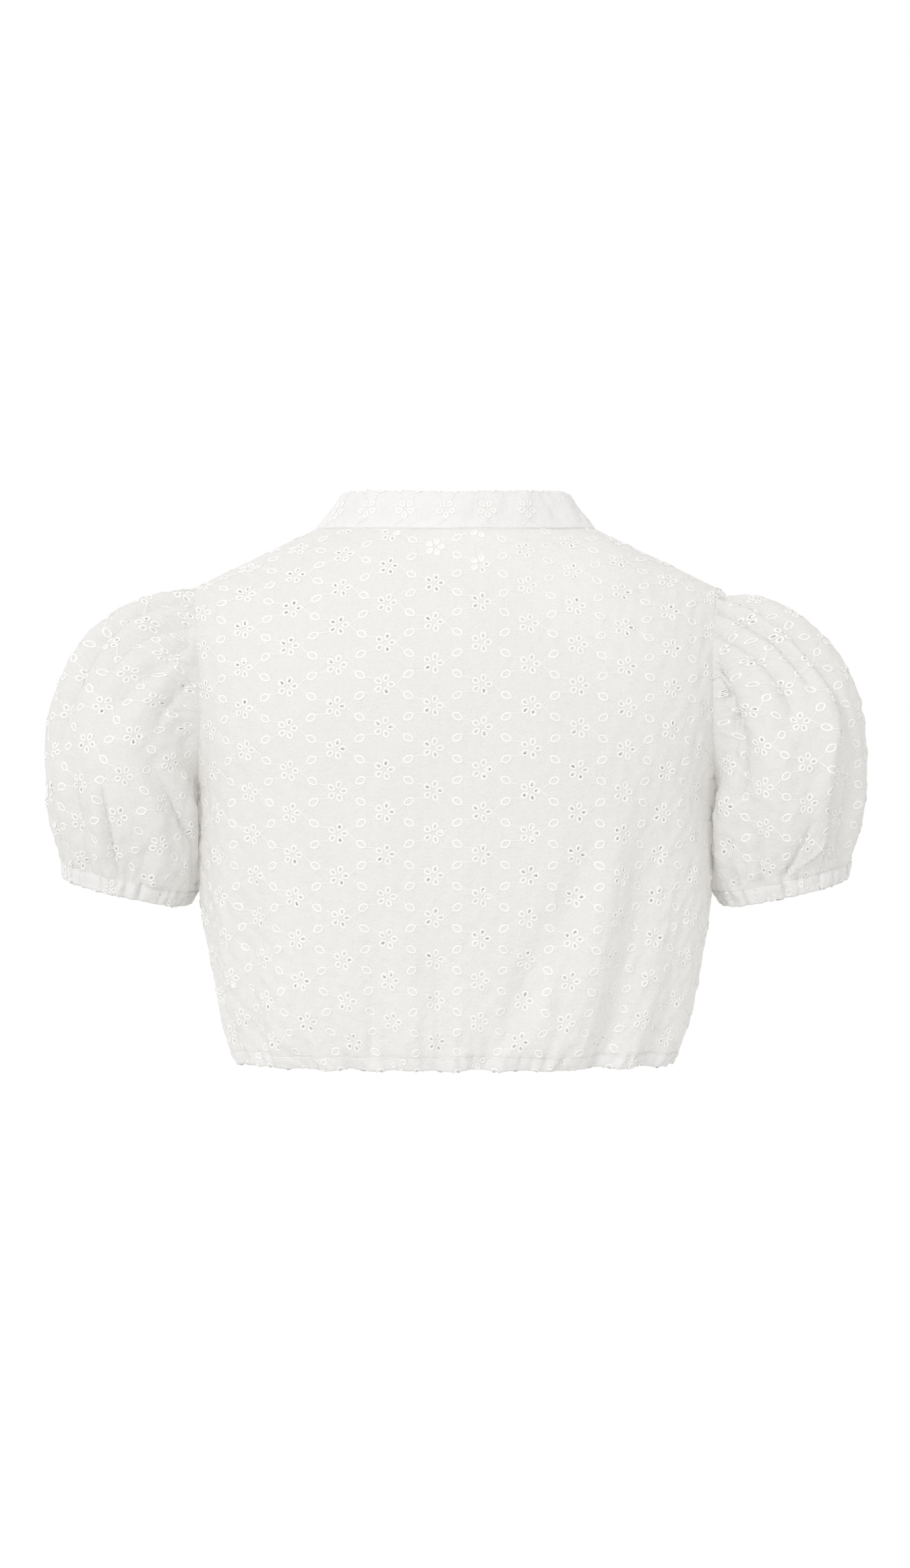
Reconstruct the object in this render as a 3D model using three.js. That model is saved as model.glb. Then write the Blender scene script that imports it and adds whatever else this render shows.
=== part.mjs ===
// A cropped dirndl blouse in white eyelet cotton, filled out as it is worn, with no wearer in it.
// Millimetres, +Z up, +X towards the wearer's left, the front facing -Y.
// The origin lies between the two side neck points, level with the seam where the collar meets the shoulders.

import * as THREE from "three";

// Driving dimensions.
const CLOTH = 1.5; // wall of a single layer of cloth
const DOUBLE_CLOTH = 2; // wall of the folded collar
const CASING_CLOTH = 2.4; // wall of a turned edge with elastic in it
const SEAM_GAP = 0.4;
const COLLAR_GAP = 0.9;
const ARMHOLE_GAP = 0.6;

const NECK_HALF_WIDTH = 104;
const NECK_BACK_DROP = 5.5;
const V_DEPTH = 66; // a shallow V, so that the wide neck goes over the head
const V_BOW = 1.2; // over 1 the V neckline starts down gently and ends steeper

const SHOULDER_SLOPE = 0.4875;
const SHOULDER_TIP_X = 194.5;
const RIDGE_ROUNDING = 20; // how softly the two shoulder slopes would meet behind the neck
const RIDGE_TOP = 50.2; // where the two slopes would meet if they were not rounded
const BACK_SHOULDER_FALL = 150; // height over which the back rounds up into the shoulder
const FRONT_SHOULDER_FALL = 200;
const SHOULDER_DROP = 0.004; // parts the back from the front by well under a millimetre along the shoulder

const UNDERARM_Z = -196;
const HEM_Z = -397.5;
const HEM_CASING_HEIGHT = 11;
const CASING_TOP_Z = HEM_Z + HEM_CASING_HEIGHT;
const HEM_WAVES = 72; // gathers of the elastic hem, all round
const HEM_WAVE_DEPTH = 0.9;

const BACK_SQUARENESS = 2.4; // exponent of the superellipse that each level of the body follows
const FRONT_SQUARENESS = 2.15;

const COLLAR_POINT_GAP = 0.5; // each end of the collar stops this far from the middle of the V

const CUFF_HEIGHT = 13;
const CUFF_TOP_CENTRE = new THREE.Vector3(242, -9, -257);
const CUFF_TOP_RADIUS = 52;
const CUFF_BOTTOM_RADIUS = 48.3;
const SLEEVE_AXIS = new THREE.Vector3(0.21, -0.08, -0.975).normalize();
const CUFF_WAVES = 30;
const CUFF_WAVE_DEPTH = 0.8;

// Grid counts.
const CASING_COLUMNS_PER_WAVE = 3;
const SLEEVE_COLUMNS_PER_WAVE = 4;
const PANEL_COLUMNS_PER_SHOULDER = 10;
const PANEL_COLUMNS_PER_HALF_NECK = 11;
const ROWS_BELOW_UNDERARM = 6;
const ROWS_ABOVE_UNDERARM = 7;
const SLEEVE_WAVES = 15;
const SLEEVE_ROWS = 9;
const COLLAR_COLUMNS = 48;
const COLLAR_ROWS = 2;
const ARMHOLE_STEPS = 60;

// The body's half-width at the side and its depth behind and before the shoulder line, level by level.
const BODY_LEVELS = [
  { z: -410, halfWidth: 155, backDepth: 83, frontDepth: 90 },
  { z: -397, halfWidth: 160.5, backDepth: 87, frontDepth: 94 },
  { z: -385, halfWidth: 165.5, backDepth: 92, frontDepth: 100 },
  { z: -358, halfWidth: 174.5, backDepth: 99, frontDepth: 112 },
  { z: -318, halfWidth: 182.5, backDepth: 104, frontDepth: 122 },
  { z: -278, halfWidth: 188.5, backDepth: 107, frontDepth: 127 },
  { z: -240, halfWidth: 189.5, backDepth: 109, frontDepth: 129 },
  { z: -196, halfWidth: 190.5, backDepth: 110, frontDepth: 127 },
  { z: -170, halfWidth: 194.5, backDepth: 111, frontDepth: 124 },
  { z: -140, halfWidth: 199, backDepth: 111, frontDepth: 119 },
  { z: -110, halfWidth: 203.5, backDepth: 110, frontDepth: 114 },
  { z: -80, halfWidth: 207, backDepth: 108, frontDepth: 108 },
  { z: -44, halfWidth: 210, backDepth: 105, frontDepth: 100 },
  { z: 0, halfWidth: 212, backDepth: 101, frontDepth: 92 },
  { z: 60, halfWidth: 214, backDepth: 96, frontDepth: 84 },
];

// How far out the armhole seam lies at each height.
const ARMHOLE_EDGE = [
  { z: -196, x: 190.5 },
  { z: -190, x: 190.1 },
  { z: -170, x: 188.3 },
  { z: -140, x: 187 },
  { z: -110, x: 187.5 },
  { z: -80, x: 189.5 },
  { z: -60, x: 191.8 },
  { z: -40, x: 195.2 },
];

// Soft folds of the body. "At" is the place round the body in mm of cloth from the centre back, positive
// towards the wearer's left, at the fold's lower and upper end. A trough has a negative depth.
const BODY_FOLDS = [
  { lowZ: -386, lowAt: -36, highZ: -215, highAt: -104, width: 15, depth: -3.5 },
  { lowZ: -386, lowAt: -62, highZ: -235, highAt: -78, width: 13, depth: 2.5 },
  { lowZ: -386, lowAt: -92, highZ: -190, highAt: -122, width: 16, depth: 3 },
  { lowZ: -386, lowAt: -128, highZ: -170, highAt: -150, width: 20, depth: -5 },
  { lowZ: -386, lowAt: -182, highZ: -215, highAt: -176, width: 17, depth: -3 },
  { lowZ: -386, lowAt: 4, highZ: -290, highAt: 26, width: 12, depth: -2.5 },
  { lowZ: -386, lowAt: 64, highZ: -260, highAt: 58, width: 12, depth: -2 },
  { lowZ: -386, lowAt: 178, highZ: -205, highAt: 143, width: 17, depth: -4.5 },
  { lowZ: -386, lowAt: 140, highZ: -300, highAt: 126, width: 11, depth: 2.5 },
  { lowZ: -386, lowAt: 215, highZ: -235, highAt: 204, width: 14, depth: -3 },
  { lowZ: -386, lowAt: 300, highZ: -240, highAt: 318, width: 18, depth: -4 },
  { lowZ: -386, lowAt: 345, highZ: -275, highAt: 352, width: 14, depth: -3 },
  { lowZ: -386, lowAt: 395, highZ: -255, highAt: 385, width: 17, depth: -4 },
  { lowZ: -386, lowAt: -300, highZ: -250, highAt: -312, width: 17, depth: -4 },
  { lowZ: -386, lowAt: -352, highZ: -285, highAt: -348, width: 14, depth: -3 },
  { lowZ: -386, lowAt: -398, highZ: -245, highAt: -390, width: 17, depth: -4 },
];

// Small gathers that rise from the hem: two sets of waves of different pitch make them uneven.
const RISING_GATHERS = [
  { pitch: 38, shift: 0, depth: 1.5 },
  { pitch: 53, shift: 11, depth: 1.2 },
];
const RISING_GATHER_HEIGHT = 34;

// The width of the collar and how far it lifts off the cloth's own direction, from the centre back to the V.
const COLLAR_SHAPE = [
  { share: 0, width: 30.5, lift: 10 },
  { share: 0.46, width: 31, lift: 38 },
  { share: 0.7, width: 28, lift: 27 },
  { share: 1, width: 20, lift: 7 },
];

// Each rib of the sleeve leaves the armhole and enters the cuff in its own direction. "top" is 1 on the
// shoulder and -1 under the arm. Its arm columns lead out of the armhole, its cuff columns up from the cuff.
const SLEEVE_RIBS = [
  { top: -1, armX: 6, armY: 0, armZ: -16, cuffUp: 21, cuffOut: -8 },
  { top: -0.6, armX: 22, armY: 12, armZ: -12, cuffUp: 38, cuffOut: 8 },
  { top: 0, armX: 58, armY: 22, armZ: 2, cuffUp: 70, cuffOut: 40 },
  { top: 1, armX: 95, armY: 0, armZ: 4, cuffUp: 84, cuffOut: 54 },
];
const CAP_GATHERS = { depth: 3, fade: 0.22 };
const CUFF_GATHERS = { depth: 2.2, fade: 0.12 };

const WHITE_COTTON = new THREE.MeshStandardMaterial({
  color: 0xf2f1ef,
  roughness: 0.9,
  metalness: 0,
});

// A smooth curve through one column of a table whose rows are in order of another column.
function along(table, key, column, at) {
  const last = table.length - 1;
  let i = 0;
  while (i < last - 1 && at > table[i + 1][key]) i += 1;
  const slope = (j) => {
    const a = table[Math.max(j - 1, 0)];
    const b = table[Math.min(j + 1, last)];
    return (b[column] - a[column]) / (b[key] - a[key]);
  };
  const span = table[i + 1][key] - table[i][key];
  const t = THREE.MathUtils.clamp((at - table[i][key]) / span, 0, 1);
  const rise = t * t * (3 - 2 * t);
  return (
    table[i][column] * (1 - rise) +
    table[i + 1][column] * rise +
    span * (t * (1 - t) * (1 - t) * slope(i) - t * t * (1 - t) * slope(i + 1))
  );
}

const smooth = THREE.MathUtils.smoothstep;

function ridgeHeight(x) {
  return RIDGE_TOP - SHOULDER_SLOPE * Math.hypot(x, RIDGE_ROUNDING);
}

// A point of the plain body. Angle 0 is the centre back, a quarter turn the wearer's left side.
function plainBody(angle, z) {
  const behind = Math.cos(angle) >= 0;
  const squareness = behind ? BACK_SQUARENESS : FRONT_SQUARENESS;
  const width = along(BODY_LEVELS, "z", "halfWidth", z);
  const depth = along(BODY_LEVELS, "z", behind ? "backDepth" : "frontDepth", z);
  const radius = Math.pow(
    Math.pow(Math.abs(Math.sin(angle)) / width, squareness) +
      Math.pow(Math.abs(Math.cos(angle)) / depth, squareness),
    -1 / squareness,
  );
  const x = radius * Math.sin(angle);
  const fall = behind ? BACK_SHOULDER_FALL : FRONT_SHOULDER_FALL;
  const below = THREE.MathUtils.clamp((ridgeHeight(x) - z) / fall, 0, 1);
  const rounding = Math.sqrt(1 - (1 - below) * (1 - below));
  return new THREE.Vector3(x, radius * Math.cos(angle) * rounding, z);
}

// Cloth runs round the body in proportion to the length round the chest.
const CHEST_Z = -240;
const ROUND_STEPS = 720;
const ROUND = roundTheChest();

function roundTheChest() {
  const rows = [{ angle: 0, length: 0 }];
  let before = plainBody(0, CHEST_Z);
  for (let i = 1; i <= ROUND_STEPS; i += 1) {
    const angle = (i / ROUND_STEPS) * Math.PI;
    const here = plainBody(angle, CHEST_Z);
    rows.push({ angle, length: rows[i - 1].length + here.distanceTo(before) });
    before = here;
  }
  return rows;
}
const HALF_ROUND = ROUND[ROUND_STEPS].length;
const SIDE_SEAM = placeAtAngle(Math.PI / 2);

// The place round the body, in mm of cloth from the centre back, at an angle.
function placeAtAngle(angle) {
  const step = (Math.abs(angle) / Math.PI) * ROUND_STEPS;
  const i = Math.min(Math.floor(step), ROUND_STEPS - 1);
  const length = THREE.MathUtils.lerp(ROUND[i].length, ROUND[i + 1].length, step - i);
  return Math.sign(angle) * length;
}

function angleAtPlace(place) {
  const wanted = Math.abs(place);
  let low = 0;
  let high = ROUND_STEPS;
  while (high - low > 1) {
    const middle = (low + high) >> 1;
    if (ROUND[middle].length > wanted) high = middle;
    else low = middle;
  }
  const share = (wanted - ROUND[low].length) / (ROUND[high].length - ROUND[low].length);
  const angle = THREE.MathUtils.lerp(ROUND[low].angle, ROUND[high].angle, share);
  return Math.sign(place) * angle;
}

// How far the folds and gathers move the cloth out, fading at the side seams.
function foldDepth(place, z) {
  const round = ((place + 3 * HALF_ROUND) % (2 * HALF_ROUND)) - HALF_ROUND;
  let out = 0;
  for (const fold of BODY_FOLDS) {
    const share = (z - fold.lowZ) / (fold.highZ - fold.lowZ);
    const centre = THREE.MathUtils.lerp(fold.lowAt, fold.highAt, share);
    const length = smooth(share, -0.15, 0.12) * (1 - smooth(share, 0.45, 1.1));
    const aside = (round - centre) / fold.width;
    out += fold.depth * length * Math.exp(-aside * aside);
  }
  const rising = Math.exp(-(z - CASING_TOP_Z) / RISING_GATHER_HEIGHT);
  for (const set of RISING_GATHERS)
    out += set.depth * rising * Math.cos((2 * Math.PI * (round - set.shift)) / set.pitch);
  const fromSeam = Math.abs(Math.abs(round) - SIDE_SEAM);
  return out * smooth(fromSeam, 0, 22);
}

function bodyPoint(place, z) {
  const step = 1;
  const here = plainBody(angleAtPlace(place), z);
  const beside = plainBody(angleAtPlace(place + step), z);
  const aside = beside.sub(plainBody(angleAtPlace(place - step), z));
  const out = new THREE.Vector3(-aside.y, aside.x, 0).normalize();
  return here.addScaledVector(out, foldDepth(place, z));
}

// The body's outward direction at a point, from the points beside, above and below it.
function bodyOut(place, z) {
  const step = 1;
  const rise = 0.15; // small, because the cloth turns level within a few millimetres of the shoulder
  const aside = bodyPoint(place + step, z).sub(bodyPoint(place - step, z));
  const up = bodyPoint(place, z + rise).sub(bodyPoint(place, z - rise));
  return up.cross(aside).normalize();
}

// The place where the body is x out from the middle plane, on the back or the front.
function placeAtX(x, z, front) {
  let low = front ? SIDE_SEAM : 0;
  let high = front ? HALF_ROUND : SIDE_SEAM;
  for (let i = 0; i < 40; i += 1) {
    const middle = (low + high) / 2;
    const further = plainBody(angleAtPlace(middle), z).x < Math.abs(x);
    if (further === front) high = middle;
    else low = middle;
  }
  return (Math.sign(x) || 1) * ((low + high) / 2);
}

function neckHeight(x, front) {
  const share = Math.min(Math.abs(x) / NECK_HALF_WIDTH, 1);
  const atSide = ridgeHeight(NECK_HALF_WIDTH);
  if (front) return atSide - (V_DEPTH + atSide) * Math.pow(1 - share, V_BOW);
  return atSide - (NECK_BACK_DROP + atSide) * (1 - share * share);
}

// The highest z that the cloth reaches at a place: the neckline seam or the shoulder seam.
function topHeight(place, front) {
  let z = front ? -60 : -20;
  for (let i = 0; i < 40; i += 1) {
    const x = Math.abs(plainBody(angleAtPlace(place), z).x);
    const top = x < NECK_HALF_WIDTH ? neckHeight(x, front) : ridgeHeight(x) - SHOULDER_DROP;
    z = (z + top) / 2;
  }
  return z;
}

const corner = (point, out) => ({ point, out });

// A wall of cloth as one closed solid. rows[i][j] holds a point of the outer side and its outward direction.
// Rows run upwards, and columns clockwise as seen from above.
function wall(rows, thickness, closed) {
  const height = rows.length;
  const width = rows[0].length;
  const corners = [];
  for (const depth of [0, thickness])
    for (const row of rows)
      for (const { point, out } of row)
        corners.push(point.clone().addScaledVector(out, -depth));
  const index = [];
  const at = (layer, i, j) => (layer * height + i) * width + (j % width);
  const quad = (a, b, c, d) => index.push(a, c, b, a, d, c);
  const columns = closed ? width : width - 1;
  const top = height - 1;
  const end = width - 1;
  for (let i = 0; i < top; i += 1)
    for (let j = 0; j < columns; j += 1) {
      quad(at(0, i, j), at(0, i, j + 1), at(0, i + 1, j + 1), at(0, i + 1, j));
      quad(at(1, i, j), at(1, i + 1, j), at(1, i + 1, j + 1), at(1, i, j + 1));
    }
  for (let j = 0; j < columns; j += 1) {
    quad(at(0, 0, j), at(1, 0, j), at(1, 0, j + 1), at(0, 0, j + 1));
    quad(at(0, top, j), at(0, top, j + 1), at(1, top, j + 1), at(1, top, j));
  }
  if (!closed)
    for (let i = 0; i < top; i += 1) {
      quad(at(0, i, 0), at(0, i + 1, 0), at(1, i + 1, 0), at(1, i, 0));
      quad(at(0, i, end), at(1, i, end), at(1, i + 1, end), at(0, i + 1, end));
    }
  const geometry = new THREE.BufferGeometry().setFromPoints(corners);
  geometry.setIndex(index);
  geometry.computeVertexNormals();
  return geometry;
}

const group = new THREE.Group();

function addPiece(name, geometry) {
  const mesh = new THREE.Mesh(geometry, WHITE_COTTON.clone());
  mesh.name = name;
  group.add(mesh);
}

// The outermost place of a panel at height z: the side seam, or the armhole seam above the underarm.
function outerPlace(z, front) {
  const seam = front ? SIDE_SEAM + SEAM_GAP / 2 : SIDE_SEAM - SEAM_GAP / 2;
  if (z <= UNDERARM_Z) return seam;
  const place = placeAtX(along(ARMHOLE_EDGE, "z", "x", z), z, front);
  return front ? Math.max(place, seam) : Math.min(place, seam);
}

const armholeTip = (front) => placeAtX(SHOULDER_TIP_X, ridgeHeight(SHOULDER_TIP_X), front);
const neckCorner = (front) => placeAtX(NECK_HALF_WIDTH, 0, front);

// Rows above the underarm crowd towards the shoulder, where the cloth turns level. rise runs from 0 to 1.
function heightOf(place, rise, front) {
  const share = Math.sin((rise * Math.PI) / 2);
  return THREE.MathUtils.lerp(UNDERARM_Z, topHeight(place, front), share);
}

// Where the armhole seam crosses a row above the underarm.
function rowEnd(rise, front) {
  if (rise === 0) return outerPlace(UNDERARM_Z, front);
  let place = armholeTip(front);
  for (let i = 0; i < 30; i += 1)
    place = (place + outerPlace(heightOf(place, rise, front), front)) / 2;
  return place;
}

// Shares of the way from the middle to the armhole, with one exactly at the neck corner to keep it crisp.
function columnShares(cornerShare) {
  const shares = [];
  for (let i = 0; i < PANEL_COLUMNS_PER_HALF_NECK; i += 1)
    shares.push((cornerShare * i) / PANEL_COLUMNS_PER_HALF_NECK);
  for (let i = 0; i <= PANEL_COLUMNS_PER_SHOULDER; i += 1)
    shares.push(cornerShare + ((1 - cornerShare) * i) / PANEL_COLUMNS_PER_SHOULDER);
  return shares;
}

// The back, or the front, from the hem casing to the neckline and the shoulder seams.
function panel(front) {
  const middle = front ? HALF_ROUND : 0;
  const tip = armholeTip(front);
  const half = columnShares((neckCorner(front) - middle) / (tip - middle));
  const cell = (share, end, side, heightAt) => {
    const place = THREE.MathUtils.lerp(middle, end, share);
    const z = heightAt(place);
    const out = bodyOut(side * place, z);
    if (z < CASING_TOP_Z + 1) out.setZ(0).normalize(); // the lower edge lies flat over the casing's
    return corner(bodyPoint(side * place, z), out);
  };
  const row = (end, heightAt) => {
    const left = half.map((share) => cell(share, end, 1, heightAt));
    const right = half.map((share) => cell(share, end, -1, heightAt));
    if (front) return [...left.reverse(), ...right.slice(1)];
    return [...right.reverse(), ...left.slice(1)];
  };
  const rows = [];
  for (let i = 0; i < ROWS_BELOW_UNDERARM; i += 1) {
    const z = THREE.MathUtils.lerp(CASING_TOP_Z + SEAM_GAP, UNDERARM_Z, i / ROWS_BELOW_UNDERARM);
    rows.push(row(outerPlace(z, front), () => z));
  }
  for (let i = 0; i <= ROWS_ABOVE_UNDERARM; i += 1) {
    const rise = i / ROWS_ABOVE_UNDERARM;
    rows.push(row(rowEnd(rise, front), (place) => heightOf(place, rise, front)));
  }
  return wall(rows, CLOTH, false);
}

// The elastic casing turned up along the hem, gathered all the way round.
function hemCasing() {
  const columns = HEM_WAVES * CASING_COLUMNS_PER_WAVE;
  const row = (z) => {
    const cells = [];
    for (let j = 0; j < columns; j += 1) {
      const place = ((2 * j) / columns - 1) * HALF_ROUND;
      const out = bodyOut(place, z).setZ(0).normalize();
      const wave = HEM_WAVE_DEPTH * Math.cos((2 * Math.PI * j) / CASING_COLUMNS_PER_WAVE);
      cells.push(corner(bodyPoint(place, z).addScaledVector(out, wave), out));
    }
    return cells;
  };
  return wall([row(HEM_Z), row(CASING_TOP_Z)], CASING_CLOTH, true);
}

// The armhole seam on the wearer's left, from the shoulder down the front and up the back again.
const ARMHOLE = armholeSeam();

function armholeSeam() {
  const branch = (front) => {
    const points = [];
    for (let i = 0; i <= ARMHOLE_STEPS; i += 1) {
      const rise = i / ARMHOLE_STEPS;
      const place = rowEnd(rise, front);
      points.push(bodyPoint(place, heightOf(place, rise, front)));
    }
    return points;
  };
  const frontPoints = branch(true).reverse();
  const backPoints = branch(false).slice(1, -1);
  return new THREE.CatmullRomCurve3([...frontPoints, ...backPoints], true, "chordal");
}

// The cuff's own outward and forward directions, square to the sleeve.
const CUFF_OUT = new THREE.Vector3(-SLEEVE_AXIS.z, 0, SLEEVE_AXIS.x).normalize();
const CUFF_FRONT = new THREE.Vector3().crossVectors(SLEEVE_AXIS, CUFF_OUT);

function cuffPoint(share, down, radius) {
  const turn = 2 * Math.PI * share;
  return CUFF_TOP_CENTRE.clone()
    .addScaledVector(SLEEVE_AXIS, down)
    .addScaledVector(CUFF_OUT, radius * Math.cos(turn))
    .addScaledVector(CUFF_FRONT, radius * Math.sin(turn));
}

// A point of the plain left sleeve. share runs round it from the top over the front, rise from the cuff up.
function plainSleeve(share, rise) {
  const turn = 2 * Math.PI * share;
  const top = Math.cos(turn);
  const rib = (column) => along(SLEEVE_RIBS, "top", column, top);
  const start = ARMHOLE.getPointAt((((share % 1) + 1) % 1));
  start.x += ARMHOLE_GAP;
  const leaving = start.clone();
  leaving.x += rib("armX");
  leaving.y -= rib("armY") * Math.sin(turn);
  leaving.z += rib("armZ");
  const end = cuffPoint(share, -SEAM_GAP, CUFF_TOP_RADIUS);
  const entering = cuffPoint(share, -SEAM_GAP - rib("cuffUp"), CUFF_TOP_RADIUS + rib("cuffOut"));
  return new THREE.CubicBezierCurve3(end, entering, leaving, start).getPoint(rise);
}

// The outward direction of a surface that takes (share, rise), by the points around one of its points.
function outwardOf(surface, share, rise) {
  const low = Math.max(rise - 0.01, 0);
  const high = Math.min(rise + 0.01, 1);
  const up = surface(share, high).sub(surface(share, low));
  const aside = surface(share + 0.004, rise).sub(surface(share - 0.004, rise));
  return up.cross(aside).normalize();
}

// Gathers run down from the cap seam, deepest on the shoulder, and up from the cuff all the way round.
function sleevePoint(share, rise) {
  const turn = 2 * Math.PI * share;
  const fromCap = 1 - rise;
  const onCap = smooth(Math.cos(turn), -0.55, 0.25) * smooth(fromCap, 0, 0.05);
  const wave = Math.cos(SLEEVE_WAVES * turn);
  const cap = CAP_GATHERS.depth * onCap * Math.exp(-fromCap / CAP_GATHERS.fade);
  const cuff = CUFF_GATHERS.depth * smooth(rise, 0, 0.03) * Math.exp(-rise / CUFF_GATHERS.fade);
  const out = outwardOf(plainSleeve, share, rise);
  const clear = 1 - smooth(-Math.cos(turn), 0.6, 0.95); // flat where the sleeve lies beside the body
  return plainSleeve(share, rise).addScaledVector(out, wave * clear * (cap + cuff));
}

function mirrorRows(rows) {
  const flip = new THREE.Vector3(-1, 1, 1);
  const mirrored = ({ point, out }) =>
    corner(point.clone().multiply(flip), out.clone().multiply(flip));
  return rows.map((row) => row.map(mirrored).reverse());
}

function sleeveRows() {
  const columns = SLEEVE_WAVES * SLEEVE_COLUMNS_PER_WAVE;
  const rows = [];
  for (let i = 0; i <= SLEEVE_ROWS; i += 1) {
    const rise = 0.5 - 0.5 * Math.cos((Math.PI * i) / SLEEVE_ROWS);
    const row = [];
    for (let j = 0; j < columns; j += 1) {
      const out = outwardOf(sleevePoint, j / columns, rise);
      if (i === 0) out.projectOnPlane(SLEEVE_AXIS).normalize(); // both ends face their neighbours squarely
      if (i === SLEEVE_ROWS) out.setX(0).normalize();
      row.push(corner(sleevePoint(j / columns, rise), out));
    }
    rows.push(row);
  }
  return rows;
}

function cuffRows() {
  const columns = CUFF_WAVES * CASING_COLUMNS_PER_WAVE;
  const row = (down, radius) => {
    const cells = [];
    for (let j = 0; j < columns; j += 1) {
      const share = j / columns;
      const wave = CUFF_WAVE_DEPTH * Math.cos((2 * Math.PI * j) / CASING_COLUMNS_PER_WAVE);
      const point = cuffPoint(share, down, radius + wave);
      const out = point.clone().sub(cuffPoint(share, down, 0)).normalize();
      cells.push(corner(point, out));
    }
    return cells;
  };
  return [row(CUFF_HEIGHT, CUFF_BOTTOM_RADIUS), row(0, CUFF_TOP_RADIUS)];
}

// The neckline seam from the point of the V up the wearer's right, round the back and down the left.
const NECKLINE = necklineSeam();

function necklineSeam() {
  const steps = 40; // cells on each of the three stretches
  const edge = (place, front) => {
    const z = topHeight(place, front);
    return { point: bodyPoint(place, z), out: bodyOut(place, z) };
  };
  const run = (from, to, front) => {
    const cells = [];
    for (let i = 0; i <= steps; i += 1)
      cells.push(edge(THREE.MathUtils.lerp(from, to, i / steps), front));
    return cells;
  };
  const frontCorner = neckCorner(true);
  const backCorner = neckCorner(false);
  const middle = placeAtX(COLLAR_POINT_GAP, -V_DEPTH, true);
  const cells = [
    ...run(-middle, -frontCorner, true).slice(0, -1),
    ...run(-backCorner, backCorner, false),
    ...run(frontCorner, middle, true).slice(1),
  ];
  let length = 0;
  for (let i = 0; i < cells.length; i += 1) {
    if (i > 0) length += cells[i].point.distanceTo(cells[i - 1].point);
    cells[i].length = length;
  }
  return cells;
}

// A point of the neckline seam, its outward direction and its run, at a share of its whole length.
function necklineAt(share) {
  const whole = NECKLINE[NECKLINE.length - 1].length;
  const wanted = share * whole;
  let i = 0;
  while (i < NECKLINE.length - 2 && NECKLINE[i + 1].length < wanted) i += 1;
  const a = NECKLINE[i];
  const b = NECKLINE[i + 1];
  const t = (wanted - a.length) / (b.length - a.length);
  const point = a.point.clone().lerp(b.point, t);
  const out = a.out.clone().lerp(b.out, t).normalize();
  const run = b.point.clone().sub(a.point).normalize();
  return { point, out, run, fromEnd: Math.min(wanted, whole - wanted) };
}

// The stand collar on the neckline seam, leaning in behind and lying ever flatter down the V. Its ends are
// cut upright at the middle, so the columns of its grid turn from square on the seam to upright.
function collarPoint(share, rise) {
  const { point, out, run, fromEnd } = necklineAt(share);
  const fromBack = Math.abs(2 * share - 1);
  const lift = THREE.MathUtils.degToRad(along(COLLAR_SHAPE, "share", "lift", fromBack));
  const width = along(COLLAR_SHAPE, "share", "width", fromBack);
  const inward = new THREE.Vector3().crossVectors(run, out);
  const awayFromPoint = run.clone().multiplyScalar(share < 0.5 ? 1 : -1);
  const mitre = Math.min(Math.abs((width * inward.x) / run.x), 2 * width);
  const slide = fromEnd < 2 * mitre ? mitre - fromEnd + (fromEnd * fromEnd) / (4 * mitre) : 0;
  const ahead = COLLAR_GAP + rise * width;
  return point
    .addScaledVector(inward, ahead * Math.cos(lift))
    .addScaledVector(out, ahead * Math.sin(lift))
    .addScaledVector(awayFromPoint, fromBack > 0.5 ? (slide * ahead) / width : 0);
}

function collar() {
  const rows = [];
  for (let i = 0; i <= COLLAR_ROWS; i += 1) {
    const rise = i / COLLAR_ROWS;
    const row = [];
    for (let j = 0; j <= COLLAR_COLUMNS; j += 1) {
      const share = j / COLLAR_COLUMNS;
      const inside = THREE.MathUtils.clamp(share, 0.005, 0.995);
      row.push(corner(collarPoint(share, rise), outwardOf(collarPoint, inside, rise)));
    }
    rows.push(row);
  }
  return wall(rows, DOUBLE_CLOTH, false);
}

addPiece("back", panel(false));
addPiece("front", panel(true));
addPiece("hem_casing", hemCasing());
addPiece("collar", collar());
addPiece("sleeve_left", wall(sleeveRows(), CLOTH, true));
addPiece("sleeve_right", wall(mirrorRows(sleeveRows()), CLOTH, true));
addPiece("cuff_casing_left", wall(cuffRows(), CASING_CLOTH, true));
addPiece("cuff_casing_right", wall(mirrorRows(cuffRows()), CASING_CLOTH, true));

export default group;
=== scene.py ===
# A cropped dirndl blouse in white eyelet cotton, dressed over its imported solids.
# Surfaces are worked out in millimetres and handed to Blender in metres.

import math
import bpy
import numpy as np
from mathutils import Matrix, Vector
from mathutils.geometry import delaunay_2d_cdt


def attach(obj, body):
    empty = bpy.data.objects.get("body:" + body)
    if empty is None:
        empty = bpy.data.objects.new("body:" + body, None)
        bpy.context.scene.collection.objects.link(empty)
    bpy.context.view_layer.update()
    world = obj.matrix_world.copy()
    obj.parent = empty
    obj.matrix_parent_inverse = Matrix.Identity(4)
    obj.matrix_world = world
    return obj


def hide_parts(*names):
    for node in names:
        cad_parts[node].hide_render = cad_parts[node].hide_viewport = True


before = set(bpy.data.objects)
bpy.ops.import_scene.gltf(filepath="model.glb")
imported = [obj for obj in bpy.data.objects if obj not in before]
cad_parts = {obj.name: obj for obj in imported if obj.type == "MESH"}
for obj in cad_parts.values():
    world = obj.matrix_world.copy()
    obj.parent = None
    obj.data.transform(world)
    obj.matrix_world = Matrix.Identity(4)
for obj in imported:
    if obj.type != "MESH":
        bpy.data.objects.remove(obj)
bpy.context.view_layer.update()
MM = 0.001

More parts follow.
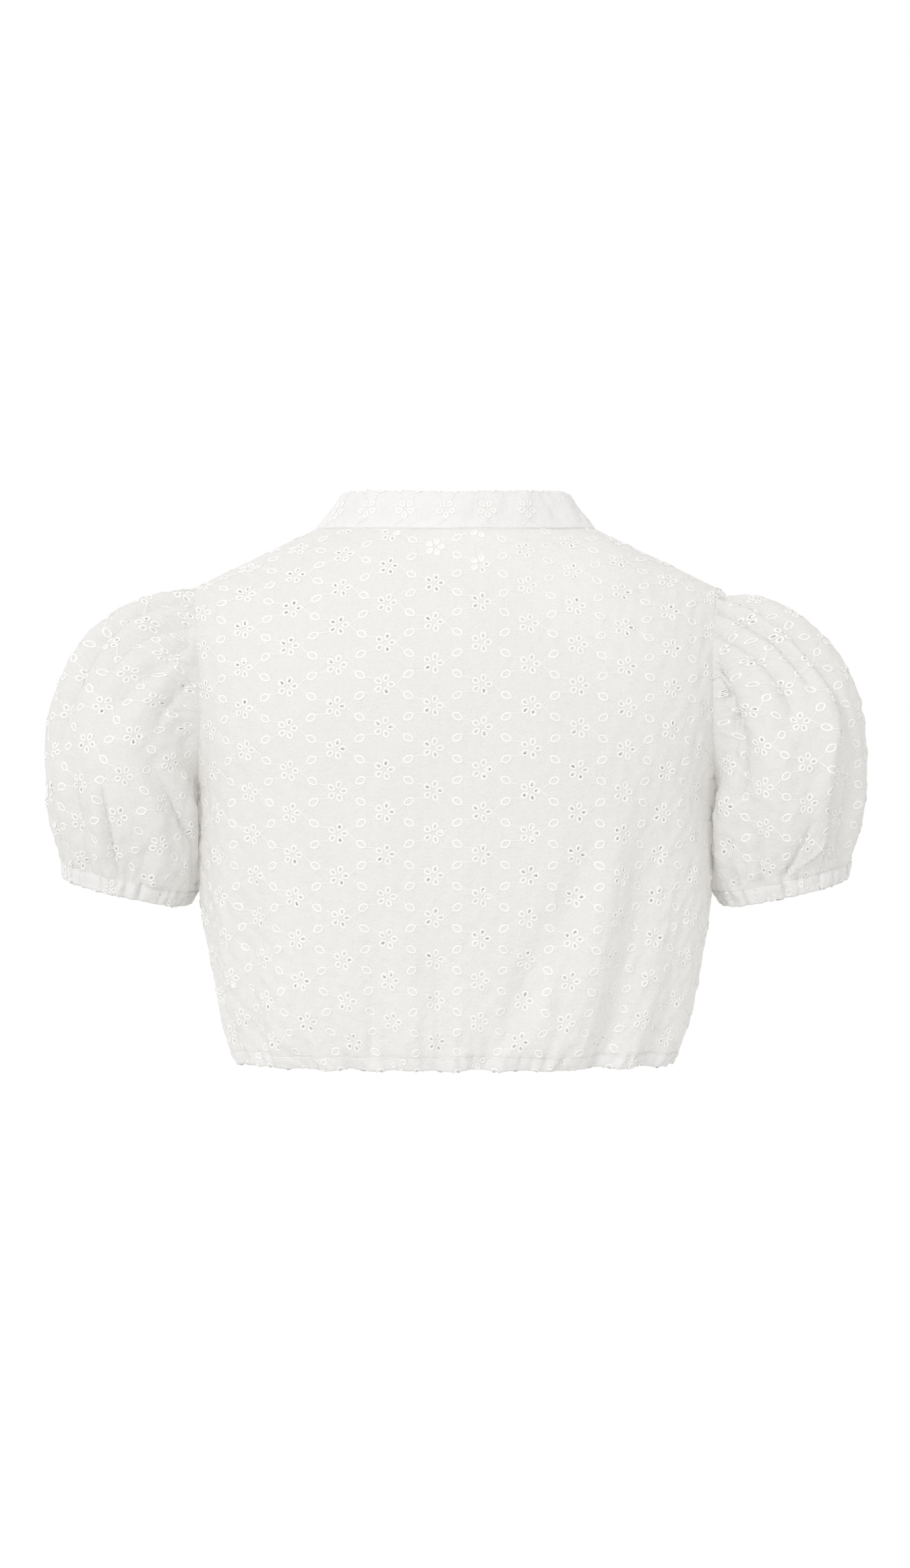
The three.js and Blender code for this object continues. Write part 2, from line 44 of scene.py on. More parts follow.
# Body, as the solids have it.
RIDGE_TOP = 50.2
RIDGE_ROUNDING = 20
SHOULDER_SLOPE = 0.4875
BACK_SHOULDER_FALL = 150
FRONT_SHOULDER_FALL = 200
BACK_SQUARENESS = 2.4
FRONT_SQUARENESS = 2.15
NECK_HALF_WIDTH = 104
NECK_BACK_DROP = 5.5
V_DEPTH = 66
V_BOW = 1.2
UNDERARM_Z = -196
SHOULDER_TIP_X = 194.5
CHEST_Z = -240
HEM_Z = -397.5
HEM_CASING = 11
CASING_TOP_Z = HEM_Z + HEM_CASING
HEM_WAVES = 72

BODY_LEVELS = {
    "z": [-410, -397, -385, -358, -318, -278, -240, -196, -170, -140, -110, -80, -44, 0, 60],
    "width": [155, 160.5, 165.5, 174.5, 182.5, 188.5, 189.5, 190.5, 194.5, 199, 203.5, 207, 210, 212, 214],
    "back": [83, 87, 92, 99, 104, 107, 109, 110, 111, 111, 110, 108, 105, 101, 96],
    "front": [90, 94, 100, 112, 122, 127, 129, 127, 124, 119, 114, 108, 100, 92, 84],
}
ARMHOLE_EDGE = {
    "z": [-196, -190, -170, -140, -110, -80, -60, -40],
    "x": [190.5, 190.1, 188.3, 187, 187.5, 189.5, 191.8, 195.2],
}

# Sleeves and cuffs, as the solids have them.
CUFF_CASING = 13
CUFF_TOP_CENTRE = np.array([242.0, -9.0, -257.0])
CUFF_TOP_RADIUS = 52
CUFF_BOTTOM_RADIUS = 48.3
SLEEVE_AXIS = np.array([0.21, -0.08, -0.975]) / np.linalg.norm([0.21, -0.08, -0.975])
CUFF_WAVES = 30
SLEEVE_CLOTH = 442.0  # width of the flat sleeve, gathered into the cuff
SLEEVE_RIBS = {
    "top": [-1, -0.6, 0, 1],
    "armX": [6, 22, 58, 95],
    "armY": [0, 12, 22, 0],
    "armZ": [-16, -12, 2, 4],
    "cuffUp": [21, 38, 70, 84],
    "cuffOut": [-8, 8, 40, 54],
}

# Collar, as the solids have it, leaning in a little more at the sides.
COLLAR_SHAPE = {
    "share": [0, 0.46, 0.7, 1],
    "width": [30.5, 31, 28, 20],
    "lift": [10, 31, 24, 7],
}
COLLAR_SPREAD = 1.08  # the collar is stretched a little as it is sewn on, and its flowers with it
# Upright creases of the collar: the share from one end of the neckline to the other, the width and the depth.
COLLAR_FOLDS = [
    (0.315, 5, -0.9), (0.335, 6, 0.8), (0.362, 4, -0.7), (0.4, 7, 0.6), (0.435, 5, -0.6), (0.545, 6, -0.6),
    (0.575, 5, 0.6), (0.612, 4, -0.9), (0.632, 5, 0.9), (0.652, 3.5, -0.8), (0.685, 5, -0.8),
]
COLLAR_POINT_GAP = 0.5
COLLAR_THICKNESS = 2

# Embroidery: flowers of five eyelets on a diamond lattice, joined by stitched lines with a leaf on each.
COLUMN_PITCH = 34.2
FLOWER_PITCH = 30.2
COLUMN_SHIFT = 15.9
FLOWER_SHIFT = 12.0
COLLAR_SHIFT = (7.7, 15.5)
SLEEVE_SHIFTS = {"left": (3.0, 14.0), "right": (-9.0, 6.0)}
SLEEVE_GRAIN = math.radians(4)  # the sleeves are cut this far off the grain
PETALS = 5
PETAL_RADIUS = 4.85
PETAL_TURN = math.radians(2)
TEARDROP = 0.2  # an eyelet is this much wider at its outer end
EYELET = {"long": 1.7, "wide": 1.15}
EYELET_RING = 1.4
LEAF = {"long": 3.6, "wide": 2.35, "ring": 1.4}
LEAF_POINTS = 0.3  # over 0 a leaf's ends are pointed
LEAF_LEAN = 0.1  # a leaf is steeper than the line that it lies on
LINE = {"width": 0.8, "height": 0.3, "pitch": 0.75, "wobble": 0.1}
LINE_MARGIN = 0.8  # lines end this far from the edge of their piece
EMBROIDERY_MARGIN = 0.5
# Cross sections of the satin rings: share of the ring's width, height.
EYELET_PROFILE = [(-0.18, -0.3), (0.02, 0.28), (0.5, 0.42), (0.95, 0.02)]
LEAF_PROFILE = [(-0.1, 0.0), (0.25, 0.4), (0.7, 0.4), (1.05, 0.0)]
STRAND_DEPTH = 0.07
SEAM_STITCH = {"stitch": 2.3, "gap": 0.6, "width": 0.55, "height": 0.34}
STITCH_LINE = -1.2  # the stitches of a casing lie this far below its seam

# Soft folds of the body, as the solids have them, then finer creases that only the cloth shows.
# Each runs from its low end (z, place) to its high end, with a width and a depth. A trough is negative.
BODY_FOLDS = [
    (-386, -36, -215, -104, 15, -3.5),
    (-386, -62, -235, -78, 13, 2.5),
    (-386, -92, -190, -122, 16, 3),
    (-386, -128, -170, -150, 20, -5),
    (-386, -182, -215, -176, 17, -3),
    (-386, 4, -290, 26, 12, -2.5),
    (-386, 64, -260, 58, 12, -2),
    (-386, 178, -205, 143, 17, -4.5),
    (-386, 140, -300, 126, 11, 2.5),
    (-386, 215, -235, 204, 14, -3),
    (-386, 300, -240, 318, 18, -4),
    (-386, 345, -275, 352, 14, -3),
    (-386, 395, -255, 385, 17, -4),
    (-386, -300, -250, -312, 17, -4),
    (-386, -352, -285, -348, 14, -3),
    (-386, -398, -245, -390, 17, -4),
]
BODY_CREASES = [
    (-386, 88, -318, 84, 5, 1.3),
    (-386, 70, -336, 66, 4, -1.2),
    (-386, 36, -330, 31, 5, 1.4),
    (-360, 14, -300, 13, 4, -1.0),
    (-386, 19, -348, 17, 4, 1.3),
    (-386, -20, -340, -14, 4, 1.2),
    (-386, -46, -330, -52, 4, 1.3),
    (-386, -78, -322, -84, 5, -1.4),
    (-386, -108, -300, -116, 6, 1.6),
    (-386, -150, -330, -152, 5, -1.4),
    (-386, -205, -325, -200, 6, 1.6),
    (-386, 112, -335, 110, 5, -1.3),
    (-386, 158, -300, 150, 6, 1.6),
    (-386, 236, -320, 226, 6, 1.5),
    (-386, 262, -340, 262, 5, -1.3),
    (-386, 322, -328, 330, 5, 1.4),
    (-386, 372, -318, 366, 6, 1.4),
    (-386, 420, -335, 418, 5, -1.3),
    (-386, -248, -330, -244, 5, 1.3),
    (-386, -276, -318, -282, 6, -1.5),
    (-386, -328, -340, -326, 5, 1.3),
    (-386, -372, -322, -374, 6, 1.5),
    (-386, -424, -336, -420, 5, 1.2),
]
FOLD_STRENGTH = 1.6  # thin cloth folds a little more crisply than its solid
# Shares of its length by which a fold has faded in, and from which it fades out.
BODY_FOLD_FADES = (0.12, 0.45)
BODY_CREASE_FADES = (0.05, 0.3)
SIDE_SEAM_CLEARANCE = 22  # folds die away this near a side seam
RISING_GATHERS = [(38, 0, 1.5), (53, 11, 1.2)]
RISING_GATHER_HEIGHT = 34
HEM_GATHERS = {"depth": 0.9, "flattened": 0.82, "height": 7, "unevenness": 5, "tall_ones": 13}

# Folds of each sleeve's back. A path runs through (rise, share). The rise is 0 at the cuff, 1 at the cap.
# The share goes round the sleeve: 0 on the shoulder, 0.25 in front, 0.5 under the arm, 0.75 behind. Then come
# the widths on its side towards the underarm and on the other, and the depth. A trough is negative, with a
# sharp floor.
SLEEVE_FOLDS = {
    "left": [
        ([(0.97, 0.95), (0.8, 0.94), (0.69, 0.925), (0.56, 0.905), (0.42, 0.915), (0.28, 0.925)], 5, 9, -5.0),
        ([(0.95, 0.972), (0.78, 0.962), (0.62, 0.95), (0.48, 0.945)], 7, 7, 2.6),
        ([(0.99, 0.85), (0.87, 0.802), (0.7, 0.812), (0.58, 0.82)], 4, 10, -4.4),
        ([(0.97, 0.815), (0.84, 0.772), (0.68, 0.77)], 9, 9, 2.6),
        ([(0.97, 0.885), (0.83, 0.875), (0.7, 0.862), (0.6, 0.86)], 3, 7, -3.4),
        ([(0.95, 0.915), (0.8, 0.905), (0.62, 0.88)], 7, 7, 2.2),
        ([(0.37, 0.802), (0.17, 0.782), (0.01, 0.766)], 2.2, 4, -4.2),
        ([(0.4, 0.822), (0.18, 0.803), (0.0, 0.79)], 6, 6, 2.2),
        ([(0.36, 0.925), (0.17, 0.91), (0.01, 0.89)], 2.2, 5, -3.0),
        ([(0.62, 0.705), (0.49, 0.655), (0.37, 0.61), (0.02, 0.572)], 7, 9, -4.5),
        ([(0.55, 0.745), (0.4, 0.7), (0.05, 0.68)], 10, 10, 2.2),
        ([(0.99, 0.77), (0.88, 0.735), (0.74, 0.72)], 3, 6, -2.4),
        ([(0.27, 0.705), (0.02, 0.72)], 3, 4, -2.0),
        ([(0.34, 0.86), (0.2, 0.845), (0.04, 0.84)], 4, 5, -2.2),
    ],
    "right": [
        ([(0.96, 0.96), (0.84, 0.922), (0.72, 0.902), (0.5, 0.896), (0.38, 0.862), (0.25, 0.846),
          (0.03, 0.84)], 3, 15, -6.5),
        ([(0.92, 0.925), (0.8, 0.893), (0.66, 0.876), (0.5, 0.868), (0.34, 0.832), (0.08, 0.815)], 9, 7, 3.0),
        ([(0.99, 0.918), (0.88, 0.886), (0.74, 0.862), (0.6, 0.85)], 4, 8, -5.0),
        ([(0.99, 0.862), (0.9, 0.836), (0.78, 0.812), (0.62, 0.8)], 4, 8, -4.6),
        ([(0.95, 0.835), (0.84, 0.79), (0.66, 0.77)], 9, 9, 2.4),
        ([(0.99, 0.806), (0.93, 0.748), (0.84, 0.704), (0.68, 0.68), (0.5, 0.668)], 4, 9, -4.8),
        ([(0.97, 0.73), (0.84, 0.68), (0.7, 0.65)], 6, 6, -2.2),
        ([(0.6, 0.93), (0.3, 0.925), (0.05, 0.925)], 7, 7, 1.8),
        ([(0.2, 0.8), (0.1, 0.77), (0.04, 0.745)], 3, 6, -3.4),
        ([(0.13, 0.835), (0.07, 0.8), (0.05, 0.76)], 3, 5, 2.4),
        ([(0.26, 0.7), (0.03, 0.69)], 3, 5, -2.4),
        ([(0.36, 0.64), (0.04, 0.625)], 5, 7, -2.6),
        ([(0.3, 0.885), (0.04, 0.88)], 3, 5, -3.0),
    ],
}
SLEEVE_FOLD_STRENGTH = 1.25
FRONT_FOLD_SHARE = 0.85  # the same folds, shallower, on the sleeve's front, which the picture hides
FOLD_FLOOR = 0.06  # how much the sharp floor of a trough is rounded
CUFF_FOLDS = 30  # gathers that rise from the cuff, of uneven height
CUFF_GATHERS = {"depth": 1.4, "flattened": 0.45, "height": 8}
CAP_PLEATS = {"count": 44, "depth": 0.9, "height": 9}
TOWARDS_BODY = {"bulge": 3.0, "calmed": 0.8}  # the sleeve's side that lies against the body
BEHIND_UNDERARM = {"bulge": 8.5, "share": 0.62, "width": 0.055}

# Grooves of the casing seams, and the cloth's crinkle and slow swell.
GROOVE_AT = 0.2
GROOVE_WIDTH = 1.1
HEM_GROOVE = 0.35
CUFF_GROOVE = 0.4
FINE_CRINKLE = 0.1
BODY_CRINKLE = {"size": 0.26, "pitch": 13, "fine_pitch": 9, "stretch": 1.4}
SLEEVE_CRINKLE = {"size": 0.3, "pitch": 13, "fine_pitch": 9, "stretch": 1.3}
COLLAR_CRINKLE = {"size": 0.22, "pitch": 17, "fine_pitch": 6, "stretch": 1.3}
BODY_SWELL = 0.5
SLEEVE_SWELL = 0.9
SEEDS = {"body": 11, "hem": 5, "left": 31, "right": 47, "collar": 71}

COTTON_COLOUR = (0.838, 0.833, 0.826)
DOUBLED_COLOUR = (0.848, 0.843, 0.837)
THREAD_COLOUR = (0.775, 0.766, 0.748)
THREAD_LIFT = 0.14
THROUGH_COLOUR = (0.87, 0.855, 0.83)
LIGHT_THROUGH = 0.46  # share of the light that goes through one layer
DOUBLED_THROUGH = 0.6 * LIGHT_THROUGH
DOUBLED_WRINKLING = 0.8
# Bumps of the cotton, from slubs to fine wrinkles: scale, stretch, detail, roughness, strength, metres deep.
COTTON_BUMPS = [
    (60, (6, 0.7), 4, 0.6, 0.6, 0.0009),
    (170, (0.8, 1.1), 5, 0.62, 0.8, 0.0012),
    (430, (0.7, 1.2), 3, 0.6, 0.8, 0.0005),
]
WEAVE = {"X": 330, "Y": 300}  # scale of the threads each way
COTTON_FINISH = {
    "Roughness": 0.82,
    "IOR": 1.46,
    "Specular IOR Level": 0.25,
    "Sheen Weight": 0.12,
    "Sheen Roughness": 0.55,
}
THREAD_FINISH = {"Roughness": 0.6, "IOR": 1.46, "Specular IOR Level": 0.35, "Sheen Weight": 0.1}
CLOTH_STEP = 2.9  # spacing of the cloth's points between the eyelets
HEM_STEP = 2.2
CUFF_STEP = 2.0
COLLAR_STEP = 1.7
EDGE_STEP = 2.2  # spacing of the points along an edge
HOLE_CLEARANCE = 2.7  # no other point of the cloth lies this near an eyelet's middle

FLOOR = {"half": 2.0, "height": -1.35}
FLOOR_COLOUR = (0.76, 0.76, 0.75)
CAMERA_LENS = 80.48
CAMERA_PLACE = (0.0005, 2.6, -0.190)
LIT_POINT = (0, 0, -0.2)
# Soft suns: energy, where each shines from, the angle it covers in degrees, colour.
SUNS = {
    "key": (1.0, (1.25, 2.0, 0.95), 12, (0.985, 0.99, 1.0)),
    "fill": (0.2, (-0.5, 2.6, -0.1), 50, (1.0, 0.985, 0.96)),
    "front": (0.45, (1.6, -2.2, 0.7), 20, (0.99, 0.99, 1.0)),
}


def along(table, column, at):
    """A smooth curve through one column of a table whose rows are in order of its first column."""
    key = np.array(next(iter(table.values())), float)
    value = np.array(table[column], float)
    last = len(key) - 1
    before = np.maximum(np.arange(last + 1) - 1, 0)
    after = np.minimum(np.arange(last + 1) + 1, last)
    slope = (value[after] - value[before]) / (key[after] - key[before])
    at = np.asarray(at, float)
    i = np.clip(np.searchsorted(key, at, side="right") - 1, 0, last - 1)
    span = key[i + 1] - key[i]
    t = np.clip((at - key[i]) / span, 0, 1)
    rise = t * t * (3 - 2 * t)
    bend = t * (1 - t) ** 2 * slope[i] - t * t * (1 - t) * slope[i + 1]
    return value[i] * (1 - rise) + value[i + 1] * rise + span * bend


def smooth(value, low, high):
    t = np.clip((np.asarray(value, float) - low) / (high - low), 0, 1)
    return t * t * (3 - 2 * t)


def bell(distance, width):
    return np.exp(-((distance / width) ** 2))


def unit(vectors):
    return vectors / np.maximum(np.linalg.norm(vectors, axis=-1, keepdims=True), 1e-12)


def run_lengths(points):
    """How far along a line of points each of them lies."""
    return np.concatenate([[0], np.cumsum(np.linalg.norm(np.diff(points, axis=0), axis=1))])


def ripples(u, v, pitch, seed, stretch=1.0, waves=14):
    """Uneven ripples of about one pitch, as a sum of waves in seeded directions. Its size is about 1."""
    rng = np.random.default_rng(seed)
    total = np.zeros(np.broadcast(u, v).shape)
    for _ in range(waves):
        turn = rng.uniform(0, math.pi)
        number = 2 * math.pi / (pitch * rng.uniform(0.7, 1.5))
        shift = rng.uniform(0, 2 * math.pi)
        total += np.cos(number * (u * math.cos(turn) + v * math.sin(turn) / stretch) + shift)
    return total / math.sqrt(waves / 2)


def crinkle(u, v, seed, size, pitch, fine_pitch, stretch):
    """Uneven ripples, with finer and flatter ones on them."""
    fine = FINE_CRINKLE * ripples(u, v, fine_pitch, seed + 1)
    return size * ripples(u, v, pitch, seed, stretch=stretch) + fine


def outline_of(*stretches):
    """One outline from stretches, each given as its u and its v. A single number stays the same along it."""
    return np.concatenate([np.column_stack(np.broadcast_arrays(u, v)) for u, v in stretches])


def ridge_height(x):
    return RIDGE_TOP - SHOULDER_SLOPE * np.hypot(x, RIDGE_ROUNDING)


def plain_body(angle, z):
    """A point of the plain body. Angle 0 is the centre back, a quarter turn the wearer's left side."""
    angle, z = np.broadcast_arrays(np.asarray(angle, float), np.asarray(z, float))
    behind = np.cos(angle) >= 0
    squareness = np.where(behind, BACK_SQUARENESS, FRONT_SQUARENESS)
    width = along(BODY_LEVELS, "width", z)
    depth = np.where(behind, along(BODY_LEVELS, "back", z), along(BODY_LEVELS, "front", z))
    across = np.abs(np.sin(angle)) / width
    ahead = np.abs(np.cos(angle)) / depth
    radius = (across**squareness + ahead**squareness) ** (-1 / squareness)
    x = radius * np.sin(angle)
    fall = np.where(behind, BACK_SHOULDER_FALL, FRONT_SHOULDER_FALL)
    below = np.clip((ridge_height(x) - z) / fall, 0, 1)
    rounding = np.sqrt(1 - (1 - below) ** 2)
    return np.stack([x, radius * np.cos(angle) * rounding, z], axis=-1)


ROUND_ANGLES = np.linspace(0, math.pi, 721)
ROUND_POINTS = plain_body(ROUND_ANGLES, CHEST_Z)
ROUND_LENGTHS = run_lengths(ROUND_POINTS)
HALF_ROUND = ROUND_LENGTHS[-1]
SIDE_SEAM = float(np.interp(math.pi / 2, ROUND_ANGLES, ROUND_LENGTHS))


def wrapped_round(place):
    """The same place round the body, from -HALF_ROUND to HALF_ROUND."""
    return (np.asarray(place, float) + HALF_ROUND) % (2 * HALF_ROUND) - HALF_ROUND


def angle_at(place):
    wrapped = wrapped_round(place)
    return np.sign(wrapped) * np.interp(np.abs(wrapped), ROUND_LENGTHS, ROUND_ANGLES)


def place_at_x(x, z, front):
    """The place round the body where it is x out from the middle plane, on the back or the front."""
    x, z = np.broadcast_arrays(np.asarray(x, float), np.asarray(z, float))
    low = np.full(x.shape, SIDE_SEAM if front else 0.0)
    high = np.full(x.shape, HALF_ROUND if front else SIDE_SEAM)
    for _ in range(36):
        middle = (low + high) / 2
        too_near = plain_body(angle_at(middle), z)[..., 0] < x
        shrink_high = too_near if front else ~too_near
        high = np.where(shrink_high, middle, high)
        low = np.where(shrink_high, low, middle)
    return (low + high) / 2


class Surface:
    """Cloth laid on a form: flat (u, v) in mm goes to points and outward directions, by a fine grid."""

    def __init__(self, u0, u_step, v0, v_step, points, wraps):
        self.u0, self.u_step, self.v0, self.v_step = u0, u_step, v0, v_step
        self.points, self.wraps = points, wraps
        self.normals = self._normals()

    def _normals(self):
        grid = self.points
        if self.wraps:
            beside = np.roll(grid, -1, axis=0) - np.roll(grid, 1, axis=0)
        else:
            beside = np.gradient(grid, axis=0)
        up = np.gradient(grid, axis=1)
        return unit(np.cross(up, beside))

    def displaced(self, depth):
        points = self.points + self.normals * depth[..., None]
        return Surface(self.u0, self.u_step, self.v0, self.v_step, points, self.wraps)

    def grid_uv(self):
        rows, columns = self.points.shape[:2]
        u = self.u0 + self.u_step * np.arange(rows)
        v = self.v0 + self.v_step * np.arange(columns)
        return np.meshgrid(u, v, indexing="ij")

    def at(self, u, v):
        rows, columns = self.points.shape[:2]
        a = (np.asarray(u, float) - self.u0) / self.u_step
        b = np.clip((np.asarray(v, float) - self.v0) / self.v_step, 0, columns - 1.001)
        if self.wraps:
            a = a % rows
        else:
            a = np.clip(a, 0, rows - 1.001)
        i = np.floor(a).astype(int)
        j = np.floor(b).astype(int)
        s = (a - i)[..., None]
        t = (b - j)[..., None]
        i2 = (i + 1) % rows
        result = []
        for field in (self.points, self.normals):
            low = field[i % rows, j] * (1 - s) + field[i2, j] * s
            high = field[i % rows, j + 1] * (1 - s) + field[i2, j + 1] * s
            result.append(low * (1 - t) + high * t)
        return result[0], unit(result[1])


def laid_along(ribs, zero_index, v0, v1, v_step):
    """Resamples ribs, columns of points from the lowest up, evenly by length, with v = 0 at one of them."""
    steps = np.linalg.norm(np.diff(ribs, axis=1), axis=2)
    lengths = np.concatenate([np.zeros((len(ribs), 1)), np.cumsum(steps, axis=1)], axis=1)
    lengths -= lengths[:, zero_index][:, None]
    v = np.arange(v0, v1 + v_step, v_step)
    out = np.empty((len(ribs), len(v), 3))
    for i, rib in enumerate(ribs):
        for axis in range(3):
            out[i, :, axis] = np.interp(v, lengths[i], rib[:, axis])
        past = np.maximum(v - lengths[i, -1], 0)[:, None]
        short = np.minimum(v - lengths[i, 0], 0)[:, None]
        out[i] += past * unit(rib[-1] - rib[-3]) + short * unit(rib[2] - rib[0])
    return out, lengths


# The body's cloth.

BODY_COLUMNS = int(round(2 * HALF_ROUND))
BODY_STEP = 2 * HALF_ROUND / BODY_COLUMNS
BODY_V0 = -16.5
BODY_V_STEP = 1.5
BODY_V1 = 450


def body_ribs():
    place = -HALF_ROUND + BODY_STEP * np.arange(BODY_COLUMNS)
    angle = angle_at(place)
    top = np.full(place.shape, -20.0)
    for _ in range(50):
        top = (top + ridge_height(plain_body(angle, top)[:, 0])) / 2
    below = np.linspace(HEM_Z - 4, CASING_TOP_Z, 12)[:-1]
    share = np.sin(np.linspace(0, math.pi / 2, 240))
    above = CASING_TOP_Z + (top[:, None] - 1e-4 - CASING_TOP_Z) * share[None, :]
    z = np.concatenate([np.repeat(below[None, :], len(place), axis=0), above], axis=1)
    return plain_body(angle[:, None], z), len(below)


def fold_depth(place, z, rows, low_share, high_share):
    """How far folds move the cloth out. Each fades in above its low end and out towards its high end."""
    wrapped = wrapped_round(place)
    out = np.zeros(place.shape)
    for low_z, low_at, high_z, high_at, width, depth in rows:
        share = (z - low_z) / (high_z - low_z)
        centre = low_at + (high_at - low_at) * share
        length = smooth(share, -0.15, low_share) * (1 - smooth(share, high_share, 1.1))
        out += depth * length * bell(wrapped - centre, width)
    return out


def uneven_waves(u, count, whole, seed):
    """Gathers round a casing: narrow valleys between round ridges, with uneven pitch and depth."""
    rng = np.random.default_rng(seed)
    turn = 2 * math.pi * np.asarray(u, float) / whole
    warped = turn * count
    strength = np.full(warped.shape, 0.8)
    for number in (3, 5, 8, 13, 21):
        warped = warped + rng.uniform(0.5, 1.1) * np.cos(number * turn + rng.uniform(0, 6.3))
        strength = strength + 0.13 * np.cos((number + 2) * turn + rng.uniform(0, 6.3))
    return strength * (1 - 2 * np.abs(np.sin(warped / 2)) ** 1.4) * -1


def body_surface():
    ribs, zero = body_ribs()
    points, lengths = laid_along(ribs, zero, BODY_V0, BODY_V1, BODY_V_STEP)
    plain = Surface(-HALF_ROUND, BODY_STEP, BODY_V0, BODY_V_STEP, points, wraps=True)
    u, v = plain.grid_uv()
    z = points[..., 2]
    depth = FOLD_STRENGTH * fold_depth(u, z, BODY_FOLDS, *BODY_FOLD_FADES)
    depth += fold_depth(u, z, BODY_CREASES, *BODY_CREASE_FADES)
    rising = np.exp(-np.maximum(z - CASING_TOP_Z, 0) / RISING_GATHER_HEIGHT)
    wrapped = wrapped_round(u)
    for pitch, shift, size in RISING_GATHERS:
        depth += size * rising * np.cos(2 * math.pi * (wrapped - shift) / pitch)
    depth *= smooth(np.abs(np.abs(wrapped) - SIDE_SEAM), 0, SIDE_SEAM_CLEARANCE)
    gathers = uneven_waves(u, HEM_WAVES, 2 * HALF_ROUND, SEEDS["hem"])
    uneven = np.cos(2 * math.pi * u * HEM_GATHERS["tall_ones"] / (2 * HALF_ROUND) + 1)
    height = HEM_GATHERS["height"] + HEM_GATHERS["unevenness"] * uneven
    above_casing = np.exp(-np.maximum(v, 0) / height)
    on_casing = 1 - HEM_GATHERS["flattened"] * smooth(-v, 0, HEM_CASING)
    depth += HEM_GATHERS["depth"] * gathers * np.where(v > 0, above_casing, on_casing)
    depth -= HEM_GROOVE * bell(v - GROOVE_AT, GROOVE_WIDTH)
    from_shoulder = lengths[:, -1][:, None] - v
    crinkled = 0.45 + 0.75 * smooth(np.abs(wrapped), 70, 190) + 0.5 * (1 - smooth(v, 40, 190))
    depth += crinkle(u, v, SEEDS["body"], **BODY_CRINKLE) * crinkled * smooth(from_shoulder, 0, 10)
    swell = BODY_SWELL * ripples(u, v, 60, SEEDS["body"] + 2, stretch=2.2)
    depth += swell * smooth(v, 5, 60) * smooth(from_shoulder, 0, 40)
    return plain.displaced(depth), ribs, lengths


BODY, BODY_RIBS, BODY_LENGTHS = body_surface()


def body_v(place, z):
    """How far up the cloth a height lies, at places round the body."""
    a = ((np.asarray(place, float) + HALF_ROUND) / BODY_STEP) % BODY_COLUMNS
    result = np.empty(a.shape)
    for k, (at, height) in enumerate(zip(a, np.broadcast_to(z, a.shape))):
        i = int(at)
        j = (i + 1) % BODY_COLUMNS
        low = np.interp(height, BODY_RIBS[i, :, 2], BODY_LENGTHS[i])
        high = np.interp(height, BODY_RIBS[j, :, 2], BODY_LENGTHS[j])
        result[k] = low + (high - low) * (at - i)
    return result


def neck_height(x, front):
    share = np.minimum(np.abs(x) / NECK_HALF_WIDTH, 1)
    at_side = ridge_height(NECK_HALF_WIDTH)
    if front:
        return at_side - (V_DEPTH + at_side) * (1 - share) ** V_BOW
    return at_side - (NECK_BACK_DROP + at_side) * (1 - share * share)


def armhole_edge(front, steps=48):
    """Places and heights along the armhole seam, from the underarm to the shoulder tip."""
    top = ridge_height(SHOULDER_TIP_X)
    z = UNDERARM_Z + (top - UNDERARM_Z) * np.sin(np.linspace(0, math.pi / 2, steps))
    place = place_at_x(along(ARMHOLE_EDGE, "x", z), z, front)
    place[0] = SIDE_SEAM
    return place, z


def half_outline(front):
    """The outline of half a panel in (u, v), from the middle of the hem round to the middle of the neck."""
    middle = HALF_ROUND if front else 0.0
    toward = -1 if front else 1
    hem = np.arange(middle, SIDE_SEAM, toward * EDGE_STEP)
    up_side = np.linspace(0, float(body_v([SIDE_SEAM], UNDERARM_Z)[0]), 80)
    place, z = armhole_edge(front)
    tip_place = place[-1]
    neck_place = float(place_at_x(NECK_HALF_WIDTH, ridge_height(NECK_HALF_WIDTH), front))
    shoulder = np.linspace(tip_place, neck_place, 44)[1:]
    neck_x = NECK_HALF_WIDTH * np.sin(np.linspace(math.pi / 2, 0, 52))[1:]
    neck_z = neck_height(neck_x, front)
    neck_places = place_at_x(neck_x, neck_z, front)
    over_the_top = 999
    return outline_of(
        (hem, 0),
        (SIDE_SEAM, up_side),
        (place[1:-1], body_v(place, z)[1:-1]),
        (tip_place, body_v([tip_place], over_the_top)),
        (shoulder, body_v(shoulder, over_the_top)),
        (neck_places, body_v(neck_places, neck_z)),
    )


def panel_outline(front):
    half = half_outline(front)
    middle = HALF_ROUND if front else 0.0
    other = half[1:-1][::-1].copy()
    other[:, 0] = 2 * middle - other[:, 0]
    outline = np.concatenate([half, other])
    return outline if not front else outline[::-1]


# Sleeves.

SLEEVE_COLUMNS = 442
SLEEVE_V_STEP = 1.5


def armhole_loop():
    """The armhole seam on the wearer's left as points, from the shoulder down the front and up the back."""
    place, z = armhole_edge(True, 80)
    front = plain_body(angle_at(place), z)[::-1]
    place, z = armhole_edge(False, 80)
    back = plain_body(angle_at(place), z)[1:]
    loop = np.concatenate([front, back])
    lengths = run_lengths(loop)
    return loop, lengths / lengths[-1]


ARMHOLE, ARMHOLE_SHARES = armhole_loop()
CUFF_OUT = np.array([-SLEEVE_AXIS[2], 0, SLEEVE_AXIS[0]]) / math.hypot(SLEEVE_AXIS[2], SLEEVE_AXIS[0])
CUFF_FRONT = np.cross(SLEEVE_AXIS, CUFF_OUT)


def cuff_points(share, down, radius):
    turn = 2 * math.pi * share
    down, radius = np.broadcast_arrays(down, np.asarray(radius, float))
    around = np.cos(turn)[:, None] * CUFF_OUT + np.sin(turn)[:, None] * CUFF_FRONT
    return CUFF_TOP_CENTRE + down[:, None] * SLEEVE_AXIS + radius[:, None] * around


